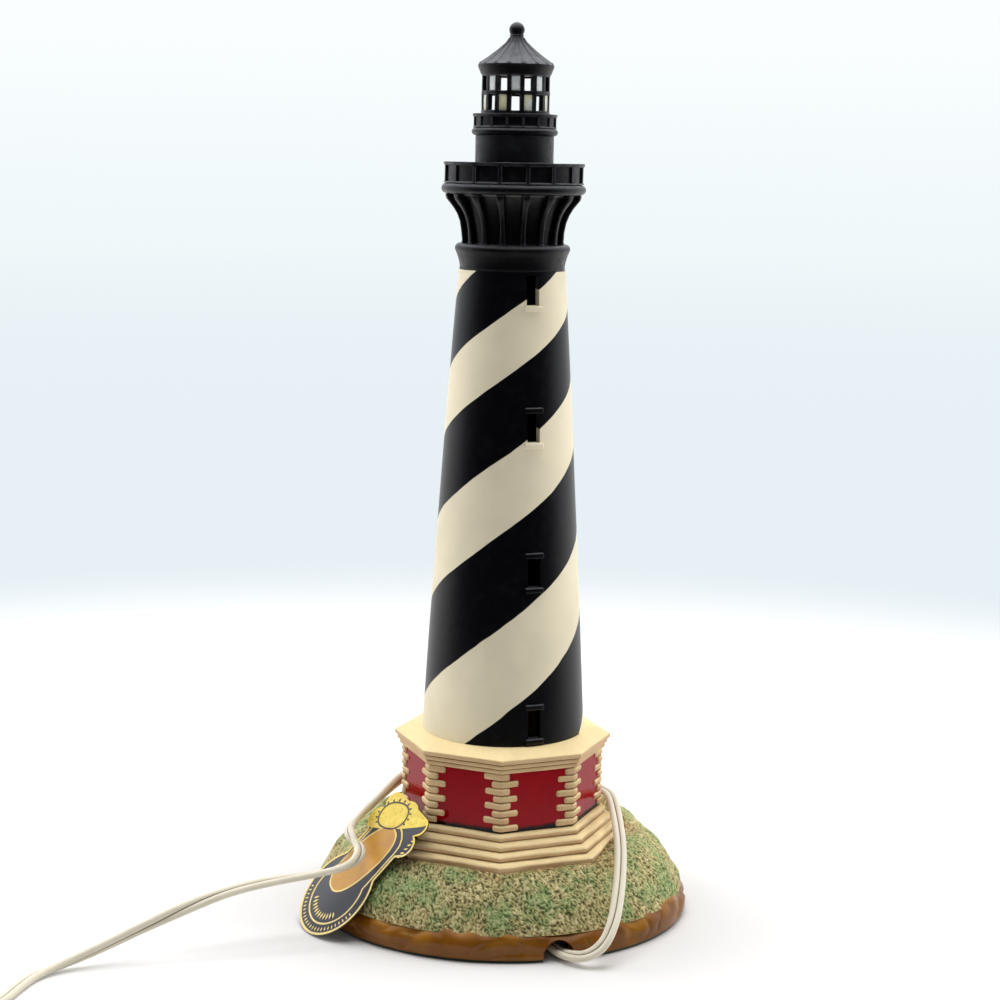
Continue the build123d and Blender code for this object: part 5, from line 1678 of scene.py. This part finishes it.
class LAMP_OT_brackets(PieceOperator, bpy.types.Operator):
    """Model one bracket and set copies of it under the deck"""

    bl_idname = "lamp.brackets"
    bl_label = "Brackets"

    def execute(self, context):
        foot, top = foot_of("gallery_brackets"), top_of("gallery_brackets")
        rise = top - foot
        # Share of the height, inner and outer reach and width
        sections = [
            (0.0, 18.6, 21.9, 2.7), (0.06, 18.6, 21.6, 2.3), (0.25, 18.8, 21.9, 2.0), (0.45, 19.2, 22.7, 2.0),
            (0.6, 19.8, 23.9, 2.1), (0.72, 20.6, 25.4, 2.3), (0.82, 21.6, 27.0, 2.7), (0.9, 22.8, 28.3, 3.1),
            (1.0, 23.5, 28.9, 3.5),
        ]
        clear_selection()
        _, inner, outer, width = sections[0]
        bpy.ops.mesh.primitive_plane_add(size=1, location=((inner + outer) / 2 * MM, 0, foot * MM))
        bpy.ops.object.mode_set(mode="EDIT")
        bpy.ops.mesh.select_all(action="SELECT")
        centre = Vector(((inner + outer) / 2 * MM, 0, foot * MM))
        bpy.ops.transform.resize(value=((outer - inner) * MM, width * MM, 1), center_override=centre)
        for before, after in zip(sections, sections[1:]):
            out = ((after[1] + after[2]) - (before[1] + before[2])) / 2
            step = Vector((out, 0, (after[0] - before[0]) * rise)) * MM
            centre = centre + step
            bpy.ops.mesh.extrude_region_move(TRANSFORM_OT_translate={"value": step})
            grow = ((after[2] - after[1]) / (before[2] - before[1]), after[3] / before[3], 1)
            bpy.ops.transform.resize(value=grow, center_override=centre)
        piece = tidy_mesh()
        bpy.ops.object.transform_apply(location=True, rotation=True, scale=True)
        soften(0.5, 2, 35)
        piece = repeated(piece, round_the_axis(PANELS, FRONT + pi / PANELS))
        sculpt(piece, uneven(0.16, 5.0, 9))
        black = finish("black_paint", black_paint)
        deliver(piece, "deck_brackets", "tower", black, ("gallery_brackets",), smooth=50)
        return {"FINISHED"}


class LAMP_OT_lantern(PieceOperator, bpy.types.Operator):
    """Model the upper gallery, the lantern wall and its panes"""

    bl_idname = "lamp.lantern"
    bl_label = "Lantern"

    def execute(self, context):
        black = finish("black_paint", black_paint)
        foot = foot_of("lantern_deck")
        deck_top = foot_of("lantern_frame")
        deck = turned(closed(
            [(12.25, foot), (16.4, foot)] + arc((16.5, foot + 1.6), 1.5, -80, 80, 10)
            + [(16.2, deck_top), (12.25, deck_top)]), 96)
        sculpt(deck, uneven(0.12, 6.0, 4))
        rail = parapet(deck_top, top_of("lantern_deck") - deck_top, 17.4, 1.6, 0.9, 0.2)
        piece = joined([deck, rail])
        deliver(piece, "upper_gallery", "tower", black, ("lantern_deck",), smooth=35)

        wall = self.sheet(14.25, lambda row, pane: (row, pane) == (None, None))
        activate(wall)
        finish_with("SOLIDIFY", thickness=2.0 * MM, offset=-1)
        soften(0.25, 2, 40)
        sculpt(wall, uneven(0.16, 4.0, 7))
        deliver(wall, "lantern_wall", "tower", black, ("lantern_frame",), smooth=40)

        panes = self.sheet(13.75, lambda row, pane: row is not None and pane is not None and pane % 2 == row)
        activate(panes)
        finish_with("SOLIDIFY", thickness=1.2 * MM, offset=-1)
        soften(0.2, 2, 40)
        milk = finish("pane_milk", pane_glaze)
        deliver(panes, "milky_panes", "tower", milk, ("lantern_panes",), smooth=40)
        return {"FINISHED"}

    def sheet(self, radius, keep):
        """Round sheet of the lantern, without the faces that a test of row and pane drops."""
        foot = foot_of("lantern_frame")
        top = top_of("lantern_frame")
        # The upper row of closed panes has even places, the lower row odd ones
        rows = ((foot + 7.0, foot + 13.4, 1), (foot + 15.0, foot + 20.9, 0))
        levels = [foot] + [level for row in rows for level in row[:2]] + [top]
        piece = turned([(radius, level) for level in levels], PANELS * 6)
        pitch = tau / PANELS

        def dropped(middle, normal):
            turn = (atan2(middle.y, middle.x) - FRONT) % tau
            pane = round(turn / pitch) % PANELS
            offset = abs((turn + pitch / 2) % pitch - pitch / 2)
            row = next((parity for low, high, parity in rows if low < middle.z < high), None)
            inside = row is not None and offset < pitch / 3
            return not keep(row if inside else None, pane if inside else None)

        bpy.ops.object.mode_set(mode="EDIT")
        pick_faces(dropped)
        bpy.ops.mesh.delete(type="FACE")
        bpy.ops.mesh.select_mode(type="VERT")
        bpy.ops.mesh.select_all(action="SELECT")
        bpy.ops.mesh.delete_loose()
        return tidy_mesh()


class LAMP_OT_roof(PieceOperator, bpy.types.Operator):
    """Model the ribbed roof and its finial"""

    bl_idname = "lamp.roof"
    bl_label = "Roof"

    def execute(self, context):
        black = finish("black_paint", black_paint)
        foot, top = foot_of("lantern_roof"), top_of("lantern_roof")
        edge = foot + 4.7
        slope = curve((15.4, edge), (4.2, top - 2.4), (-10.0, 5.4), (-9.0, 8.6), 12)
        piece = turned([(0, foot), (14.2, foot), (14.6, foot + 0.3), (15.7, foot + 2.9), (15.9, foot + 3.4),
                        (15.8, edge - 0.5), *slope, (3.0, top - 0.7), (2.7, top), (0, top)], PANELS * 6)
        pitch = tau / PANELS

        def rib(place, normal):
            turn = (atan2(place.y, place.x) - FRONT + pitch / 2) % pitch
            near = min(turn, pitch - turn) / pitch
            reach = hypot(place.x, place.y)
            if place.z < (edge - 0.05) * MM or reach < 2.9 * MM:
                return Vector((0, 0, 0))
            flat = cos(pitch / 2) / cos(turn - pitch / 2) - 1
            ridge = normal * 0.3 * MM if near < 0.05 else Vector((0, 0, 0))
            return Vector((place.x, place.y, 0)) * flat + ridge

        sculpt(piece, rib)
        sculpt(piece, uneven(0.12, 6.0, 12))
        deliver(piece, "ribbed_roof", "tower", black, ("lantern_roof",), smooth=12)

        foot, top = foot_of("roof_finial"), top_of("roof_finial")
        ball = top - 3.25
        finial = turned([(0, foot), (2.7, foot), (2.9, foot + 0.3), (2.85, foot + 0.8), (2.3, foot + 1.05)]
                        + arc((0, ball), 3.2, -38, 90, 16), 48)
        deliver(finial, "roof_ball", "tower", black, ("roof_finial",), smooth=50)
        return {"FINISHED"}


class LAMP_OT_bulb(PieceOperator, bpy.types.Operator):
    """Finish the socket and the bulb inside the house"""

    bl_idname = "lamp.bulb"
    bl_label = "Socket and bulb"

    def execute(self, context):
        for node in ("socket_shell", "socket_contact", "bulb_cap"):
            dress(node, finish("stamped_brass", brass))
        for node in ("socket_clip", "bulb_filament", "bulb_contact"):
            dress(node, finish("bright_steel", steel))
        for node in ("socket_body", "bulb_insulator"):
            dress(node, finish("dark_moulded_plastic", dark_plastic))
        for node in ("bulb_glass", "bulb_stem"):
            dress(node, finish("bulb_clear_glass", clear_glass))
        return {"FINISHED"}


class LAMP_OT_tag(PieceOperator, bpy.types.Operator):
    """Model the hang tag: a dark card with gold edges and a bare amber panel"""

    bl_idname = "lamp.tag"
    bl_label = "Hang tag"
    # Middle of the gold oval, the ring of lozenges round it, and the middle of the card's round foot
    medal_place = (-6.5, 60.0)
    lozenge_count = 18
    lozenge_turn = 0.31
    foot_middle = 20.5

    def execute(self, context):
        place = Matrix((TAG_SIDE, TAG_ALONG, TAG_FACE)).transposed().to_4x4()
        place = Matrix.Translation(Vector(TAG_FOOT) * MM) @ place
        outline = self.outline()
        card = slab([(x, y, 0.05) for x, y in outline], (0, 0, 0.5))
        soften(0.12, 2, 30)
        crest = self.crest(outline)
        medal = self.rounded(*self.medal_place, 8.0, 5.2, radians(18))
        ornaments = [card, self.band(medal, -1.5, -0.8, 0.6)]
        for index in range(self.lozenge_count):
            turn = tau * index / self.lozenge_count
            spot = self.spot(*self.medal_place, 10.6 * cos(turn), 7.6 * sin(turn), self.lozenge_turn)
            if self.crest_edge(spot[0]) + 1.0 < spot[1] and abs(spot[0]) < self.half_width(spot[1]) - 1.5:
                ornaments.append(self.lozenge(*spot, turn, 1.7, 1.0, 0.6))
        card = joined(ornaments)
        card.data.transform(place)
        dark = finish("tag_dark_card", card_print)
        deliver(card, "tag_card", "base", dark, ("hang_tag",), smooth=40)
        panel = self.rounded(-2.0, 38.0, 9.5, 18.0, radians(-12))
        marks = [
            self.band(outline, 0.0, 1.0, 0.5),
            self.band(self.inner_line(), -0.4, 0.4, 0.5),
            self.band(panel, -0.8, 0.0, 0.5),
            slab([(x, y, 0.5) for x, y in crest], (0, 0, 0.1)),
            slab([(x, y, 0.5) for x, y in medal], (0, 0, 0.2)),
        ]
        # Two rows of strokes round the card's foot: count, start, pitch, reach, length and width
        for count, start, pitch, reach, long, wide in ((25, 200, 6.4, 17.9, 2.1, 0.8),
                                                       (12, 222, 9.0, 11.8, 3.4, 1.1)):
            for index in range(count):
                turn = radians(start + index * pitch)
                x, y = reach * cos(turn), self.foot_middle + reach * sin(turn)
                marks.append(self.lozenge(x, y, turn, long, wide))
        for level in (49.5, 51.7, 53.9, 56.1, 58.3):
            marks.append(self.lozenge(16.6, level, 0.6, 2.6, 1.0))
        trim = joined(marks)
        trim.data.transform(place)
        deliver(trim, "tag_gold_lines", "base", finish("tag_gold", gold_foil), smooth=40)
        bare = slab([(x, y, 0.5) for x, y in panel], (0, 0, 0.1))
        bare.data.transform(place)
        deliver(bare, "tag_amber_panel", "base", finish("tag_amber", amber_print), smooth=40)
        return {"FINISHED"}

    def half_width(self, level):
        """Half width of the card at a level."""
        reaches = [reach + sqrt(radius**2 - (level - middle) ** 2)
                   for reach, middle, radius in TAG_ROUNDS if abs(level - middle) <= radius]
        if TAG_WAIST_LEVELS[0] <= level <= TAG_WAIST_LEVELS[1]:
            reaches.append(TAG_WAIST)
        return max(reaches, default=0.0)

    def inner_line(self):
        """Line that follows the card's edge a little way in, up to the crest."""
        reach, middle, side = 15.2, self.foot_middle, 12.4
        start = degrees(acos(side / reach))
        right = arc((0, middle), reach, -90, start, 20) + [(side, 38.0), (side, 46.0)]
        turns = [radians(turn) for turn in (0, 20, 40, 60, 80)]
        right += [(side * cos(turn), 50.0 + 9.0 * sin(turn)) for turn in turns]
        return right + [(-x, y) for x, y in reversed(right[1:])]

    def crest_edge(self, x):
        """Level of the crest's lower edge."""
        return 56.0 + 0.55 * x + 0.006 * x * x

    def crest(self, outline):
        """Edge of the gold crest: the card's head above a slanting curve."""
        head = [(x, y) for x, y in self.inset(outline, 0.5) if y > self.crest_edge(x)]
        reach = [head[-1][0] + (head[0][0] - head[-1][0]) * step / 16 for step in range(1, 16)]
        return head + [(x, self.crest_edge(x)) for x in reach]

    def outline(self):
        """Edge of the card, right side going up and left side coming down."""
        steps = 84
        levels = [TAG_LENGTH * (1 - cos(pi * step / steps)) / 2 for step in range(steps + 1)]
        right = [(self.half_width(level), level) for level in levels]
        return right[:-1] + [(-reach, level) for reach, level in reversed(right[1:])]

    def spot(self, x, y, across, along, turn):
        """Place on the card of a point of a shape that is turned about its middle."""
        return x + across * cos(turn) - along * sin(turn), y + across * sin(turn) + along * cos(turn)

    def rounded(self, x, y, half_width, half_height, turn):
        """Edge of an upright rounded shape, turned about its middle."""
        points = []
        steps = 56
        for index in range(steps):
            angle = tau * index / steps
            across, along = cos(angle), sin(angle)
            across = half_width * abs(across) ** 0.8 * (1 if across >= 0 else -1)
            along = half_height * abs(along) ** 0.9 * (1 if along >= 0 else -1)
            points.append(self.spot(x, y, across, along, turn))
        return points

    def band(self, outline, near, far, level):
        """Raised line that follows an outline between two insets."""
        loops = [self.inset(outline, near), self.inset(outline, far)]
        count = len(outline)
        points = [(x, y, level) for x, y in loops[0]] + [(x, y, level) for x, y in loops[1]]
        faces = [(i, (i + 1) % count, count + (i + 1) % count, count + i) for i in range(count)]
        mesh = bpy.data.meshes.new("band")
        mesh.from_pydata([tuple(value * MM for value in point) for point in points], [], faces)
        piece = bpy.data.objects.new("band", mesh)
        bpy.context.scene.collection.objects.link(piece)
        activate(piece)
        bpy.ops.object.mode_set(mode="EDIT")
        bpy.ops.mesh.select_all(action="SELECT")
        bpy.ops.mesh.normals_make_consistent(inside=False)
        bpy.ops.mesh.extrude_region_move(TRANSFORM_OT_translate={"value": (0, 0, 0.14 * MM)})
        return tidy_mesh()

    def inset(self, outline, amount):
        """Outline moved towards its inside."""
        count = len(outline)
        moved = []
        for index, (x, y) in enumerate(outline):
            before, after = outline[index - 1], outline[(index + 1) % count]
            run = Vector((after[0] - before[0], after[1] - before[1])).normalized()
            moved.append((x - run.y * amount, y + run.x * amount))
        return moved

    def lozenge(self, x, y, turn, long, wide, level=0.5):
        """Small raised lozenge."""
        along, across = (cos(turn), sin(turn)), (-sin(turn), cos(turn))
        corners = [(along, long / 2), (across, wide / 2), (along, -long / 2), (across, -wide / 2)]
        return slab([(x + a[0] * s, y + a[1] * s, level) for a, s in corners], (0, 0, 0.14))


class LAMP_PT_panel(bpy.types.Panel):
    """Lists the lamp's operators and settings"""

    bl_label = "Lighthouse Lamp"
    bl_idname = "LAMP_PT_panel"
    bl_space_type = "VIEW_3D"
    bl_region_type = "UI"
    bl_category = "Lamp"

    def draw(self, context):
        layout = self.layout
        for operator in OPERATORS:
            layout.operator(operator.bl_idname)
        for group in (context.scene.lamp_sizes, context.scene.lamp_colours, context.scene.lamp_stage):
            box = layout.box()
            for key in group.__annotations__:
                box.prop(group, key)


OPERATORS = (
    LAMP_OT_stage,
    LAMP_OT_cord,
    LAMP_OT_hill,
    LAMP_OT_rim,
    LAMP_OT_steps,
    LAMP_OT_house,
    LAMP_OT_cornice,
    LAMP_OT_tower,
    LAMP_OT_window_trim,
    LAMP_OT_gallery,
    LAMP_OT_brackets,
    LAMP_OT_lantern,
    LAMP_OT_roof,
    LAMP_OT_bulb,
    LAMP_OT_tag,
)
CLASSES = (LampSizes, LampColours, StageSettings, *OPERATORS, LAMP_PT_panel)


def register():
    """Register the classes and hang the settings on the scene."""
    for cls in CLASSES:
        bpy.utils.register_class(cls)
    bpy.types.Scene.lamp_sizes = PointerProperty(type=LampSizes)
    bpy.types.Scene.lamp_colours = PointerProperty(type=LampColours)
    bpy.types.Scene.lamp_stage = PointerProperty(type=StageSettings)


def unregister():
    """Take the settings off the scene and unregister the classes."""
    del bpy.types.Scene.lamp_stage
    del bpy.types.Scene.lamp_colours
    del bpy.types.Scene.lamp_sizes
    for cls in reversed(CLASSES):
        bpy.utils.unregister_class(cls)


def main():
    """Make every piece in order."""
    register()
    bpy.ops.lamp.stage()
    bpy.ops.lamp.cord()
    bpy.ops.lamp.hill()
    bpy.ops.lamp.rim()
    bpy.ops.lamp.steps()
    bpy.ops.lamp.house()
    bpy.ops.lamp.cornice()
    bpy.ops.lamp.tower()
    bpy.ops.lamp.window_trim()
    bpy.ops.lamp.gallery()
    bpy.ops.lamp.brackets()
    bpy.ops.lamp.lantern()
    bpy.ops.lamp.roof()
    bpy.ops.lamp.bulb()
    bpy.ops.lamp.tag()


if __name__ == "__main__":
    main()
